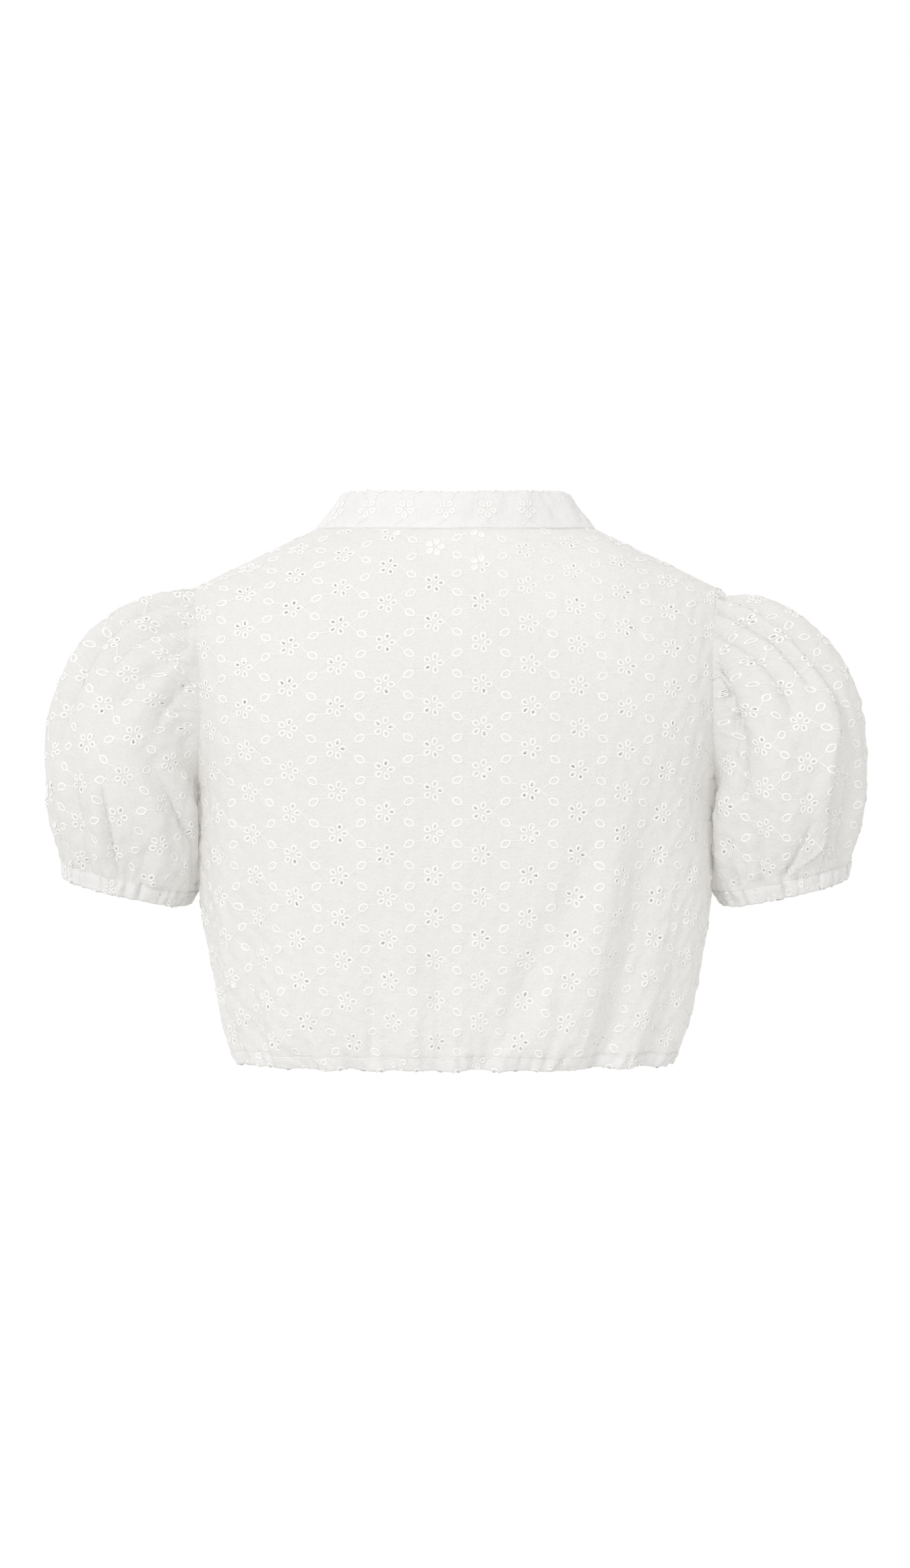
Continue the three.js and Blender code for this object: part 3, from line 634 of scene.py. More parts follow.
def sleeve_ribs():
    share = (np.arange(SLEEVE_COLUMNS) / SLEEVE_COLUMNS) - 0.5
    turn = 2 * math.pi * share
    top = np.cos(turn)
    rib = {name: along(SLEEVE_RIBS, name, top) for name in SLEEVE_RIBS if name != "top"}
    wrapped = share % 1
    start = np.stack([np.interp(wrapped, ARMHOLE_SHARES, ARMHOLE[:, k]) for k in range(3)], axis=-1)
    leaving = start + np.stack([rib["armX"], -rib["armY"] * np.sin(turn), rib["armZ"]], axis=-1)
    end = cuff_points(share, np.zeros(len(share)), CUFF_TOP_RADIUS)
    entering = cuff_points(share, -rib["cuffUp"], CUFF_TOP_RADIUS + rib["cuffOut"])
    t = np.linspace(0, 1, 160)[None, :, None]
    curve = (
        end[:, None] * (1 - t) ** 3
        + entering[:, None] * 3 * (1 - t) ** 2 * t
        + leaving[:, None] * 3 * (1 - t) * t**2
        + start[:, None] * t**3
    )
    rows = []
    for down in np.linspace(CUFF_CASING + 3, 1, 12):
        radius = CUFF_TOP_RADIUS + (CUFF_BOTTOM_RADIUS - CUFF_TOP_RADIUS) * down / CUFF_CASING
        rows.append(cuff_points(share, np.full(len(share), down), radius))
    return np.concatenate([np.stack(rows, axis=1), curve], axis=1), len(rows)


def aside_of(share, centre):
    """How far round the flat sleeve a place lies from another, in mm."""
    return ((share - centre + 0.5) % 1 - 0.5) * SLEEVE_CLOTH


def sleeve_fold_depth(share, rise, table, from_cap):
    """How far a sleeve's folds move its cloth out."""
    out = np.zeros(share.shape)
    in_front = [
        ([(t, 1.0 - at + 0.012 * math.sin(9 * k)) for t, at in path], far, near, depth * FRONT_FOLD_SHARE)
        for k, (path, near, far, depth) in enumerate(table)
    ]
    for path, near, far, depth in table + in_front:
        steps = np.array(sorted(path))
        centre = np.interp(rise, steps[:, 0], steps[:, 1])
        aside = aside_of(share, centre)
        width = np.where(aside < 0, near, far)
        low, high = steps[0, 0], steps[-1, 0]
        fade = 0.3 * (high - low)
        length = smooth(rise, low - 0.05, low + fade) if low > 0.06 else smooth(rise, -0.01, 0.03)
        ending = smooth(from_cap, 0, 7) if high >= 0.94 else 1 - smooth(rise, high - fade, high + 0.08)
        length = length * ending
        if depth < 0:
            away = np.sqrt((aside / width) ** 2 + FOLD_FLOOR) - math.sqrt(FOLD_FLOOR)
            profile = np.exp(-away * 1.25)
        else:
            profile = bell(aside, width)
        out += depth * length * profile
    return out


def sleeve_surface(side):
    """One sleeve's cloth, on the wearer's left, and how far up the cloth its cap seam lies."""
    seed = SEEDS[side]
    ribs, zero = sleeve_ribs()
    points, lengths = laid_along(ribs, zero, -18, 320, SLEEVE_V_STEP)
    half = SLEEVE_CLOTH / 2
    plain = Surface(-half, SLEEVE_CLOTH / SLEEVE_COLUMNS, -18, SLEEVE_V_STEP, points, wraps=True)
    u, v = plain.grid_uv()
    share = u / SLEEVE_CLOTH
    top = lengths[:, -1]
    from_cap = top[:, None] - v
    rise = v / top[:, None]
    rng = np.random.default_rng(seed)
    depth = SLEEVE_FOLD_STRENGTH * sleeve_fold_depth(share, rise, SLEEVE_FOLDS[side], from_cap)
    for k in range(CUFF_FOLDS):
        centre = (k + rng.uniform(-0.35, 0.35)) / CUFF_FOLDS
        reach = rng.uniform(14, 52)
        length = smooth(v, 0, 4) * (1 - smooth(v / reach, 0.1, 1))
        size = rng.uniform(-2.2, 1.2)
        depth += size * length * bell(aside_of(share, centre), rng.uniform(2.5, 5.5))
    outward = np.cos(2 * math.pi * share)
    towards_body = smooth(-outward, 0.6, 0.95)
    clear = 1 - TOWARDS_BODY["calmed"] * towards_body
    depth *= clear
    gathers = uneven_waves(u, CUFF_WAVES, SLEEVE_CLOTH, seed + 1)
    above_casing = np.exp(-np.maximum(v, 0) / CUFF_GATHERS["height"])
    on_casing = 1 - CUFF_GATHERS["flattened"] * smooth(-v, 2, CUFF_CASING)
    depth += CUFF_GATHERS["depth"] * gathers * clear * np.where(v > 0, above_casing, on_casing)
    depth -= CUFF_GROOVE * bell(v - GROOVE_AT, GROOVE_WIDTH)
    pleats = uneven_waves(u, CAP_PLEATS["count"], SLEEVE_CLOTH, seed + 6)
    below_cap = np.exp(-np.maximum(from_cap, 0) / CAP_PLEATS["height"])
    depth += CAP_PLEATS["depth"] * pleats * smooth(outward, -0.5, 0.3) * below_cap
    inside = smooth(from_cap, 0, 10)
    depth += crinkle(u, v, seed + 2, **SLEEVE_CRINKLE) * inside
    depth += SLEEVE_SWELL * ripples(u, v, 48, seed + 4, stretch=1.8) * inside * smooth(v, 4, 50) * clear
    depth += TOWARDS_BODY["bulge"] * towards_body * smooth(v, -6, 22) * smooth(from_cap, 5, 26)
    behind = bell((share + 1) % 1 - BEHIND_UNDERARM["share"], BEHIND_UNDERARM["width"])
    low_down = (0.3 + 0.7 * smooth(v, -4, 28)) * (1 - smooth(rise, 0.55, 0.92))
    depth += BEHIND_UNDERARM["bulge"] * behind * low_down
    return plain.displaced(depth), top


def mirrored_surface(surface):
    """The same cloth on the wearer's other side. Its u runs the other way."""
    points = surface.points[::-1] * np.array([-1, 1, 1])
    u0 = -(surface.u0 + surface.u_step * (len(points) - 1))
    return Surface(u0, surface.u_step, surface.v0, surface.v_step, points, surface.wraps)


def sleeve_outline(top):
    half = SLEEVE_CLOTH / 2
    u = -half + SLEEVE_CLOTH / SLEEVE_COLUMNS * np.arange(SLEEVE_COLUMNS)
    across = np.arange(-half, half + 0.01, EDGE_STEP)
    cap_u = np.linspace(half, -half, 170)
    cap_v = np.interp(cap_u, np.append(u, half), np.append(top, top[0]))
    side = np.linspace(0, top[0], 26)[1:-1]
    return outline_of((across, 0), (half, side), (cap_u, cap_v), (-half, side[::-1]))


LEFT_SLEEVE, SLEEVE_TOP = sleeve_surface("left")
SLEEVE_TUCK = 1.4  # how far the cap runs on under the edge of the body's cloth


# Folded edges: a strip goes down (or up), turns round its edge and comes back inside.

def turned(run, width, raised, radius):
    """How far along the strip and how far out a point lies that is `run` mm along the cloth from the seam."""
    straight = width - radius
    arc = np.clip((run - straight) / radius, 0, math.pi)
    back = np.maximum(run - straight - math.pi * radius, 0)
    ahead = np.minimum(run, straight) + radius * np.sin(arc) - back
    return ahead, raised - radius + radius * np.cos(arc)


def casing_surface(surface, width, whole):
    """The turned-up edge below v = 0 of a surface. Its v runs on down the outside, then up the inside."""
    v_step = 0.75
    v = np.arange(-whole, v_step, v_step)
    u = surface.u0 + surface.u_step * np.arange(surface.points.shape[0])
    ahead, out = turned(np.maximum(-v, 0), width, 0.25, 1.25)
    uu, down = np.meshgrid(u, ahead, indexing="ij")
    points, normals = surface.at(uu, -down)
    rounded = np.exp(-np.maximum(-v, 0) / 0.6)
    points = points + normals * (out * (1 - rounded) - 0.5 * rounded)[None, :, None]
    return Surface(surface.u0, surface.u_step, -whole, v_step, points, surface.wraps)


HEM_WHOLE = 2 * HEM_CASING + 0.75
CUFF_WHOLE = 2 * CUFF_CASING + 0.5


def neckline():
    """The neckline seam from the point of the V up the wearer's right, round the back and down the left."""
    steps = 60
    middle = float(place_at_x(COLLAR_POINT_GAP, -V_DEPTH, True))
    corner_z = ridge_height(NECK_HALF_WIDTH)
    front_corner = float(place_at_x(NECK_HALF_WIDTH, corner_z, True))
    back_corner = float(place_at_x(NECK_HALF_WIDTH, corner_z, False))

    def run(start, end, front):
        place = np.linspace(start, end, steps + 1)
        z = np.full(place.shape, -60.0 if front else -20.0)
        for _ in range(40):
            x = np.abs(plain_body(angle_at(place), z)[:, 0])
            z = (z + np.minimum(neck_height(x, front), ridge_height(x))) / 2
        point = plain_body(angle_at(place), z)
        aside = plain_body(angle_at(place + 1), z) - plain_body(angle_at(place - 1), z)
        up = plain_body(angle_at(place), z + 0.15) - plain_body(angle_at(place), z - 0.15)
        return point, unit(np.cross(up, aside))

    right = run(-middle, -front_corner, True)
    behind = run(-back_corner, back_corner, False)
    left = run(front_corner, middle, True)
    points = np.concatenate([right[0][:-1], behind[0], left[0][1:]])
    outs = np.concatenate([right[1][:-1], behind[1], left[1][1:]])
    return points, outs, run_lengths(points)


NECK_POINTS, NECK_OUTS, NECK_LENGTHS = neckline()
NECK_LENGTH = NECK_LENGTHS[-1]
COLLAR_RAISE = 0.5
COLLAR_ROUNDING = 9  # the collar turns its corner over the shoulder this softly
COLLAR_BELOW = 1.2  # the lower edge lies this far over the body's cloth


def collar_width(share):
    return along(COLLAR_SHAPE, "width", np.abs(2 * share - 1))


def on_neckline(values, length):
    return np.stack([np.interp(length, NECK_LENGTHS, values[:, k]) for k in range(3)], axis=-1)


def collar_points(share, ahead):
    """Points of the collar's plain outer face: `ahead` mm from the seam."""
    share, ahead = np.broadcast_arrays(share, ahead)
    wanted = share * NECK_LENGTH
    before = np.maximum(wanted - COLLAR_ROUNDING, 0)
    after = np.minimum(wanted + COLLAR_ROUNDING, NECK_LENGTH)
    point = on_neckline(NECK_POINTS, wanted)
    out = unit(sum(on_neckline(NECK_OUTS, at) for at in (before, wanted, after)))
    run = unit(on_neckline(NECK_POINTS, after) - on_neckline(NECK_POINTS, before))
    out = unit(out - run * (out * run).sum(axis=-1, keepdims=True))
    from_back = np.abs(2 * share - 1)
    lift = np.radians(along(COLLAR_SHAPE, "lift", from_back))[..., None]
    width = collar_width(share)
    inward = np.cross(run, out)
    away = run * np.where(share < 0.5, 1, -1)[..., None]
    from_end = np.minimum(wanted, NECK_LENGTH - wanted)
    mitre = np.minimum(np.abs(width * inward[..., 0] / run[..., 0]), 2 * width)
    mitre = np.maximum(mitre, 1e-3)
    slide = np.where(from_end < 2 * mitre, mitre - from_end + from_end**2 / (4 * mitre), 0)
    slide = np.where(from_back > 0.5, slide, 0)
    leaning = inward * np.cos(lift) + out * np.sin(lift)
    return point + ahead[..., None] * leaning + away * (slide * ahead / width)[..., None]


COLLAR_COLUMNS = 420
COLLAR_WHOLE = 2 * 31 + 3


def collar_surface():
    share = np.linspace(0, 1, COLLAR_COLUMNS + 1)[:, None]
    v_step = 0.75
    v = np.arange(-COLLAR_BELOW, COLLAR_WHOLE, v_step)[None, :]
    width = collar_width(share)
    ahead, out = turned(np.maximum(v, 0), width, COLLAR_RAISE, (COLLAR_THICKNESS + COLLAR_RAISE) / 2)
    ahead = np.maximum(ahead, 0.2) + np.minimum(v, 0) * 0.5
    out = out + np.minimum(v, 0) * 1.1
    points = collar_points(share, ahead)
    step = 0.3
    up = collar_points(share, ahead + step) - collar_points(share, ahead - step)
    near_share = 0.002
    before, after = np.maximum(share - near_share, 0), np.minimum(share + near_share, 1)
    beside = collar_points(after, ahead) - collar_points(before, ahead)
    normals = unit(np.cross(up, beside))
    u = share * NECK_LENGTH + 0 * v
    vv = v + 0 * share
    noise = crinkle(u, vv, SEEDS["collar"], **COLLAR_CRINKLE)
    for at, width, depth in COLLAR_FOLDS:
        aside = u - at * NECK_LENGTH + 5 * np.sin(vv / 11 + 40 * at)
        noise = noise + depth * bell(aside, width) * smooth(vv, 0, 12)
    noise = noise * smooth(np.minimum(u, NECK_LENGTH - u), 0, 6)
    points = points + normals * (out + noise * smooth(vv, 0, 3))[..., None]
    return Surface(-NECK_LENGTH / 2, NECK_LENGTH / COLLAR_COLUMNS, -COLLAR_BELOW, v_step, points, wraps=False)


def collar_outline():
    share = np.linspace(0, 1, 221)
    u = (share - 0.5) * NECK_LENGTH
    top = 2 * collar_width(share) + 1.2
    rise = np.linspace(-COLLAR_BELOW, top[0], 16)[1:-1]
    return outline_of((u, -COLLAR_BELOW), (u[-1], rise), (u[::-1], top[::-1]), (u[0], rise[::-1]))


# Embroidery, laid out in the flat. Its u runs to the left as seen from outside, so a flower's first petal,
# which points right, points to lower u.

def petal_frame(turn):
    return np.array([-math.cos(turn), math.sin(turn)])


PETAL_DIRECTIONS = [petal_frame(PETAL_TURN + 2 * math.pi * k / PETALS) for k in range(PETALS)]


def inside_polygon(points, polygon):
    x, y = points[:, 0], points[:, 1]
    inside = np.zeros(len(points), bool)
    x1, y1 = polygon[-1]
    for x2, y2 in polygon:
        if y1 != y2:
            crosses = (y1 > y) != (y2 > y)
            inside ^= crosses & (x < (x2 - x1) * (y - y1) / (y2 - y1) + x1)
        x1, y1 = x2, y2
    return inside


def from_edge(points, polygon):
    """Distance to the nearest of the polygon's closely set corners."""
    best = np.full(len(points), 1e9)
    for start in range(0, len(polygon), 64):
        block = polygon[start:start + 64]
        gap = points[:, None, :] - block[None, :, :]
        best = np.minimum(best, (gap**2).sum(axis=2).min(axis=1))
    return np.sqrt(best)


def ovals(centres, directions, long, wide, count, teardrop=0.0, pointed=0.0):
    """Corner points of many ovals: an array (ovals, count, 2)."""
    t = 2 * math.pi * np.arange(count) / count
    x = long * np.cos(t)
    y = wide * np.sin(t) * (1 + teardrop * np.cos(t)) * np.abs(np.sin(t)) ** pointed
    along_it = directions[:, None, :] * x[None, :, None]
    side = np.stack([-directions[:, 1], directions[:, 0]], axis=1)
    return centres[:, None, :] + along_it + side[:, None, :] * y[None, :, None]


def embroidery_layout(outline, shift, turned_by, spread):
    """Eyelets, leaves and lines of the flowers that lie inside an outline."""
    low = outline.min(axis=0) - 40
    high = outline.max(axis=0) + 40
    columns = range(int((low[0] - shift[0]) // COLUMN_PITCH), int((high[0] - shift[0]) // COLUMN_PITCH) + 1)
    rows = range(int((low[1] - shift[1]) // FLOWER_PITCH) - 1, int((high[1] - shift[1]) // FLOWER_PITCH) + 1)
    cos, sin = math.cos(turned_by), math.sin(turned_by)
    spin = np.array([[cos, -sin], [sin, cos]])
    eyelets, leaves, lines = [], [], []
    tip = PETAL_RADIUS + EYELET["long"] + EYELET_RING
    leaf_tip = LEAF["long"] + LEAF["ring"] * 0.5
    for k in columns:
        for m in rows:
            flower = np.array([COLUMN_PITCH * k, FLOWER_PITCH * spread * (m + 0.5 * (k % 2))])
            for direction in PETAL_DIRECTIONS:
                eyelets.append((flower + direction * PETAL_RADIUS, direction))
            for up in (1, -1):
                next_flower = flower + np.array([-COLUMN_PITCH, up * FLOWER_PITCH * spread / 2])
                way = unit(next_flower - flower)
                leaf = (flower + next_flower) / 2
                lean = unit(way + np.array([0, LEAF_LEAN * up]))
                leaves.append((leaf, lean))
                start = flower + PETAL_DIRECTIONS[0] * tip
                lines.append((start, leaf - lean * leaf_tip))
                far_petal = PETAL_DIRECTIONS[3 if up > 0 else 2]
                lines.append((leaf + lean * leaf_tip, next_flower + far_petal * tip))

    def fits(points, reach):
        return inside_polygon(points, outline) & (from_edge(points, outline) > reach)

    def placed(pairs, reach):
        centres = np.array([spin @ a + shift for a, _ in pairs])
        kept = fits(centres, reach + EMBROIDERY_MARGIN)
        return centres[kept], np.array([spin @ b for _, b in pairs])[kept]

    starts = np.array([spin @ a + shift for a, _ in lines])
    ends = np.array([spin @ b + shift for _, b in lines])
    kept = fits(starts, LINE_MARGIN) & fits(ends, LINE_MARGIN)
    return {
        "eyelets": placed(eyelets, EYELET["long"]),
        "leaves": placed(leaves, LEAF["wide"]),
        "lines": (starts[kept], ends[kept]),
    }


def triangulated(outline, holes, step):
    """Triangles in the flat inside an outline, with holes cut out. Gives the points and the triangles."""
    low, high = outline.min(axis=0), outline.max(axis=0)
    row_height = step * math.sqrt(3) / 2
    v = np.arange(low[1] + row_height / 2, high[1], row_height)
    u = np.arange(low[0], high[0], step)
    grid = np.stack(np.meshgrid(u, v, indexing="ij"), axis=-1)
    grid[:, 1::2, 0] += step / 2
    grid = grid.reshape(-1, 2)
    grid = grid[inside_polygon(grid, outline)]
    grid = grid[from_edge(grid, outline) > 0.42 * step]
    if len(holes):
        centres = holes.mean(axis=1)
        near = np.zeros(len(grid), bool)
        for start in range(0, len(centres), 128):
            gap = grid[:, None, :] - centres[None, start:start + 128, :]
            near |= ((gap**2).sum(axis=2) < HOLE_CLEARANCE**2).any(axis=1)
        grid = grid[~near]
    count = holes.shape[1] if len(holes) else 0
    points = np.concatenate([outline, holes.reshape(-1, 2), grid])
    edges = [(i, (i + 1) % len(outline)) for i in range(len(outline))]
    for h in range(len(holes)):
        first = len(outline) + h * count
        edges += [(first + k, first + (k + 1) % count) for k in range(count)]
    vectors = [Vector((float(a), float(b))) for a, b in points]
    made = delaunay_2d_cdt(vectors, edges, [], 1, 1e-5)
    flat = np.array([tuple(p) for p in made[0]])
    hole_of = np.full(len(flat), -1)
    for i, sources in enumerate(made[3]):
        for source in sources:
            inner = source - len(outline)
            if 0 <= inner < len(holes) * count:
                hole_of[i] = inner // count
    triangles = np.array([f for f in made[2] if len(f) == 3])
    marks = hole_of[triangles]
    filled = (marks[:, 0] >= 0) & (marks[:, 0] == marks[:, 1]) & (marks[:, 1] == marks[:, 2])
    return flat, triangles[~filled]


def new_object(name, points, faces, normals, flat, material):
    mesh = bpy.data.meshes.new(name)
    mesh.from_pydata((points * MM).tolist(), [], faces.tolist())
    layer = mesh.uv_layers.new(name="cloth")
    corners = np.array([loop.vertex_index for loop in mesh.loops])
    layer.data.foreach_set("uv", (flat[corners] * MM).astype(np.float32).ravel())
    mesh.polygons.foreach_set("use_smooth", np.ones(len(faces), bool))
    mesh.materials.append(material)
    mesh.validate()
    mesh.update()
    if normals is not None:
        mesh.normals_split_custom_set_from_vertices(normals.tolist())
    obj = bpy.data.objects.new(name, mesh)
    bpy.context.scene.collection.objects.link(obj)
    return obj


def facing(points, faces, normals):
    """Turns every face the way its points' own outward directions go."""
    a, b, c = (points[faces[:, k]] for k in range(3))
    wrong = (np.cross(b - a, c - a) * normals[faces[:, 0]]).sum(axis=1) < 0
    faces = faces.copy()
    faces[wrong] = faces[wrong][:, ::-1]
    return faces


def add_cloth(name, surface, outline, layout, material, step):
    """The cloth of one piece. Its eyelets are cut where it is one layer, and a second layer closes them."""
    centres, directions = layout["eyelets"]
    if material is DOUBLED:
        centres, directions = centres[:0], directions[:0]
    holes = ovals(centres, directions, EYELET["long"], EYELET["wide"], 10, teardrop=TEARDROP)
    flat, faces = triangulated(outline, holes, step)
    points, normals = surface.at(flat[:, 0], flat[:, 1])
    faces = facing(points, faces, normals)
    return new_object(name, points, faces, normals, flat, material)


def ring_parts(centres, directions, long, wide, ring, count, profile, teardrop=0.0, pointed=0.0):
    """Flat points, heights and faces of satin rings round many ovals."""
    rows = []
    for share, _ in profile:
        wider = share * ring
        rows.append(ovals(centres, directions, long + wider, wide + wider, count, teardrop, pointed))
    flat = np.stack(rows, axis=1)
    heights = np.array([h for _, h in profile])[None, :, None] + 0 * flat[..., 0]
    heights[:, 1:3, 1::2] -= STRAND_DEPTH
    per = len(profile) * count
    faces = []
    for r in range(len(profile) - 1):
        for k in range(count):
            a, b = r * count + k, r * count + (k + 1) % count
            faces += [(a, b, b + count), (a, b + count, a + count)]
    faces = np.array(faces)[None] + (per * np.arange(len(centres)))[:, None, None]
    return flat.reshape(-1, 2), heights.reshape(-1), faces.reshape(-1, 3)


def strip_faces(first, rows):
    """Triangles between rows of three points each, counted from the point `first`."""
    faces = []
    for row in range(first, first + 3 * (rows - 1), 3):
        for a in (row, row + 1):
            faces += [(a, a + 1, a + 4), (a, a + 4, a + 3)]
    return faces


def line_parts(starts, ends, width, height, pitch, wobble):
    """Raised lines of chain stitches between pairs of flat points."""
    flats, heights, faces = [], [], []
    first = 0
    for start, end in zip(starts, ends):
        length = float(np.linalg.norm(end - start))
        if length < pitch:
            continue
        steps = max(2, int(round(length / pitch)))
        way = (end - start) / length
        side = np.array([-way[1], way[0]])
        for k in range(steps + 1):
            middle = start + way * (length * k / steps) + side * (wobble if k % 2 else -wobble)
            taper = 0.8 if k % 2 else 1.0
            for across, up in ((-0.5, 0.0), (0, height), (0.5, 0.0)):
                flats.append(middle + side * across * width * taper)
                heights.append(up * taper)
        faces += strip_faces(first, steps + 1)
        first += 3 * (steps + 1)
    return np.array(flats).reshape(-1, 2), np.array(heights), np.array(faces, int).reshape(-1, 3)


def stitch_row(path, stitch, gap, width, height):
    """Short raised stitches along a flat path."""
    lengths = run_lengths(path)
    count = int(lengths[-1] // (stitch + gap))
    flats, heights, faces = [], [], []
    for k in range(count):
        at = k * (stitch + gap) + np.array([0, 0.25, 0.75, 1]) * stitch
        middle = np.column_stack([np.interp(at, lengths, path[:, 0]), np.interp(at, lengths, path[:, 1])])
        way = unit(middle[-1] - middle[0])
        side = np.array([-way[1], way[0]])
        for j, (spread, up) in enumerate(((0.35, 0.0), (1, 1), (1, 1), (0.35, 0.0))):
            for across, crown in ((-0.5, 0.0), (0, height), (0.5, 0.0)):
                flats.append(middle[j] + side * across * width * spread)
                heights.append(crown * up + 0.04)
        faces += strip_faces(12 * k, 4)
    return np.array(flats), np.array(heights), np.array(faces)


def add_thread(name, surface, layout, material, stitching):
    """The embroidery of one piece, and the stitches along the flat lines of `stitching`."""
    half_ring = LEAF["ring"] / 2
    parts = [
        ring_parts(*layout["eyelets"], EYELET["long"], EYELET["wide"], EYELET_RING, 12, EYELET_PROFILE,
                   teardrop=TEARDROP),
        ring_parts(*layout["leaves"], LEAF["long"] - half_ring, LEAF["wide"] - half_ring, LEAF["ring"], 16,
                   LEAF_PROFILE, pointed=LEAF_POINTS),
        line_parts(*layout["lines"], **LINE),
        *(stitch_row(path, **SEAM_STITCH) for path in stitching),
    ]
    first = 0
    flats, heights, faces = [], [], []
    for flat, height, triangles in parts:
        flats.append(flat)
        heights.append(height)
        faces.append(triangles + first)
        first += len(flat)
    flat = np.concatenate(flats)
    height = np.concatenate(heights)
    faces = np.concatenate(faces)
    points, normals = surface.at(flat[:, 0], flat[:, 1])
    faces = facing(points, faces, normals)
    return new_object(name, points + normals * (height + THREAD_LIFT)[:, None], faces, None, flat, material)


# Materials.

class Shader:
    """A new material, built up node by node. Its textures follow the cloth's own (u, v)."""

    def __init__(self, name):
        self.material = bpy.data.materials.new(name)
        self.material.use_nodes = True
        self.tree = self.material.node_tree
        self.tree.nodes.clear()
        coordinates = self.node("UVMap")
        coordinates.uv_map = "cloth"
        self.uv = coordinates.outputs["UV"]

    def node(self, kind, values=(), wires=(), **settings):
        node = self.tree.nodes.new("ShaderNode" + kind)
        for name, setting in settings.items():
            setattr(node, name, setting)
        for name, value in dict(values).items():
            node.inputs[name].default_value = value
        for name, output in dict(wires).items():
            self.tree.links.new(output, node.inputs[name])
        return node

    def noise(self, scale, detail, roughness=0.5, stretch=(1, 1)):
        mapping = self.node("Mapping", {"Scale": (*stretch, 1)}, {"Vector": self.uv})
        values = {"Scale": scale, "Detail": detail, "Roughness": roughness}
        return self.node("TexNoise", values, {"Vector": mapping.outputs["Vector"]}).outputs["Fac"]

    def threads(self, direction, scale):
        values = {"Scale": scale, "Distortion": 1.6, "Detail": 2}
        wave = self.node("TexWave", values, {"Vector": self.uv}, wave_type="BANDS", bands_direction=direction)
        return wave.outputs["Fac"]

    def bump(self, height, strength, distance, below=None):
        wires = {"Height": height} if below is None else {"Height": height, "Normal": below}
        return self.node("Bump", {"Strength": strength, "Distance": distance}, wires).outputs["Normal"]

    def tint(self, factor, colour, darkest, lightest):
        ends = [(*[min(c * share, 1) for c in colour], 1) for share in (darkest, lightest)]
        mix = self.node("Mix", {"A": ends[0], "B": ends[1]}, {"Factor": factor}, data_type="RGBA")
        return mix.outputs["Result"]

    def finished(self, surface):
        self.node("OutputMaterial", wires={"Surface": surface})
        return self.material


def cotton(name, colour, wrinkling, through_share):
    """Fine crinkled cotton: a soft weave, slubs, faint changes of colour, and some light through it."""
    shader = Shader(name)
    normal = None
    for scale, stretch, detail, roughness, strength, distance in COTTON_BUMPS:
        height = shader.noise(scale, detail, roughness, stretch)
        normal = shader.bump(height, strength * wrinkling, distance, normal)
    for direction, scale in WEAVE.items():
        normal = shader.bump(shader.threads(direction, scale), 0.25, 0.00008, normal)
    base = shader.tint(shader.noise(24, 4, 0.55), colour, 0.975, 1.02)
    facing_light = shader.node("BsdfPrincipled", COTTON_FINISH, {"Base Color": base, "Normal": normal})
    through = shader.node("BsdfTranslucent", {"Color": (*THROUGH_COLOUR, 1)}, {"Normal": normal})
    both = {1: facing_light.outputs["BSDF"], 2: through.outputs["BSDF"]}
    return shader.finished(shader.node("MixShader", {"Fac": through_share}, both).outputs["Shader"])


def satin_thread(name, colour):
    """Slightly glossy embroidery cotton with fine strands."""
    shader = Shader(name)
    strands = shader.noise(1500, 3)
    base = shader.tint(strands, colour, 0.96, 1.03)
    wires = {"Base Color": base, "Normal": shader.bump(strands, 0.35, 0.00015)}
    return shader.finished(shader.node("BsdfPrincipled", THREAD_FINISH, wires).outputs["BSDF"])


COTTON = cotton("eyelet_cotton", COTTON_COLOUR, 1.0, LIGHT_THROUGH)
DOUBLED = cotton("doubled_cotton", DOUBLED_COLOUR, DOUBLED_WRINKLING, DOUBLED_THROUGH)
THREAD = satin_thread("embroidery_thread", THREAD_COLOUR)


def dress(node, surface, outline, shift, turned_by=0.0, spread=1.0,
          material=COTTON, step=CLOTH_STEP, stitching=()):
    layout = embroidery_layout(outline, np.array(shift), turned_by, spread)
    cloth = add_cloth(f"{node}_cloth", surface, outline, layout, material, step)
    thread = add_thread(f"{node}_embroidery", surface, layout, THREAD, stitching)
    for piece in (cloth, thread):
        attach(piece, "root")
    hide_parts(node)


BODY_SHIFT = (COLUMN_SHIFT, FLOWER_SHIFT)
for node, other in (("back", "front"), ("front", "back")):
    dress(node, BODY, panel_outline(node == "front"), BODY_SHIFT)


def band_outline(half, whole):
    across = np.linspace(-half, half, int(2 * half / EDGE_STEP))
    down = np.linspace(-whole, 0, 12)[1:-1]
    return outline_of((across, -whole), (half, down), (across[::-1], 0), (-half, down[::-1]))


HEM = casing_surface(BODY, HEM_CASING, HEM_WHOLE)
hem_round = np.arange(-HALF_ROUND, HALF_ROUND, EDGE_STEP)
dress("hem_casing", HEM, band_outline(HALF_ROUND, HEM_WHOLE), BODY_SHIFT, material=DOUBLED,
      step=HEM_STEP, stitching=[outline_of((hem_round, STITCH_LINE))])

dress("collar", collar_surface(), collar_outline(), COLLAR_SHIFT,
      turned_by=math.radians(90), spread=COLLAR_SPREAD, material=DOUBLED, step=COLLAR_STEP)

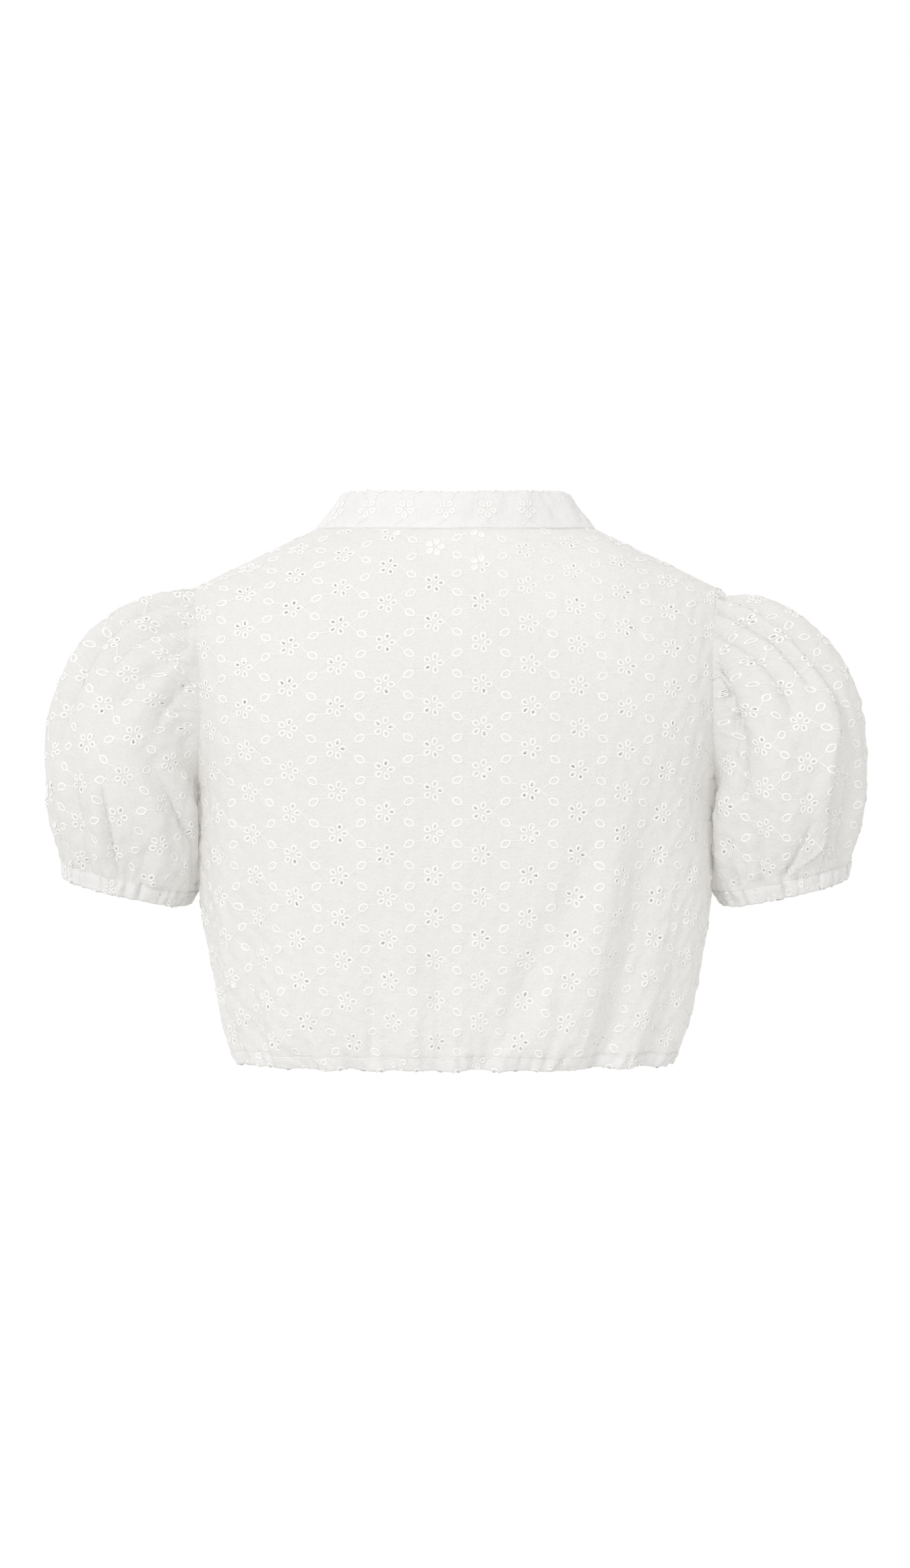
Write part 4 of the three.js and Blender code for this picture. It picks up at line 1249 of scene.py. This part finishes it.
RIGHT_SLEEVE = mirrored_surface(sleeve_surface("right")[0])
cuff_round = np.linspace(-SLEEVE_CLOTH / 2, SLEEVE_CLOTH / 2, 200)
for side, surface, mirror in (("left", LEFT_SLEEVE, 1), ("right", RIGHT_SLEEVE, -1)):
    shift = SLEEVE_SHIFTS[side]
    outline = sleeve_outline(SLEEVE_TOP + SLEEVE_TUCK) * np.array([mirror, 1])
    dress(f"sleeve_{side}", surface, outline, shift, turned_by=SLEEVE_GRAIN)
    cuff = casing_surface(surface, CUFF_CASING, CUFF_WHOLE)
    outline = band_outline(SLEEVE_CLOTH / 2, CUFF_WHOLE)
    dress(f"cuff_casing_{side}", cuff, outline, shift, turned_by=SLEEVE_GRAIN,
          material=DOUBLED, step=CUFF_STEP, stitching=[outline_of((cuff_round, STITCH_LINE))])


# Stage, camera and light.

def add_floor():
    mesh = bpy.data.meshes.new("floor")
    half, height = FLOOR["half"], FLOOR["height"]
    corners = [(half * x, half * y, height) for x, y in ((-1, -1), (1, -1), (1, 1), (-1, 1))]
    mesh.from_pydata(corners, [], [(0, 1, 2, 3)])
    floor = bpy.data.objects.new("floor", mesh)
    bpy.context.scene.collection.objects.link(floor)
    material = bpy.data.materials.new("floor_white")
    material.use_nodes = True
    principled = material.node_tree.nodes["Principled BSDF"]
    principled.inputs["Base Color"].default_value = (*FLOOR_COLOUR, 1)
    principled.inputs["Roughness"].default_value = 0.9
    mesh.materials.append(material)


def add_sun(name, energy, place, angle, colour):
    data = bpy.data.lights.new(name, "SUN")
    data.energy = energy
    data.color = colour
    data.angle = math.radians(angle)
    light = bpy.data.objects.new(name, data)
    light.location = place
    way = Vector(LIT_POINT) - Vector(place)
    light.rotation_euler = way.to_track_quat("-Z", "Y").to_euler()
    bpy.context.scene.collection.objects.link(light)


add_floor()
for name, sun in SUNS.items():
    add_sun(name, *sun)

camera_data = bpy.data.cameras.new("camera")
camera_data.lens = CAMERA_LENS
camera_data.sensor_width = 36
camera_data.clip_end = 100
camera = bpy.data.objects.new("camera", camera_data)
camera.location = CAMERA_PLACE
camera.rotation_euler = (math.radians(90), 0, math.radians(180))
bpy.context.scene.collection.objects.link(camera)
bpy.context.scene.camera = camera

world = bpy.data.worlds.new("white")
bpy.context.scene.world = world
world.use_nodes = True
background = world.node_tree.nodes["Background"]
background.inputs["Color"].default_value = (1, 1, 1, 1)
background.inputs["Strength"].default_value = 1.0

bpy.context.scene.view_settings.view_transform = "Standard"
bpy.context.scene.view_settings.look = "None"
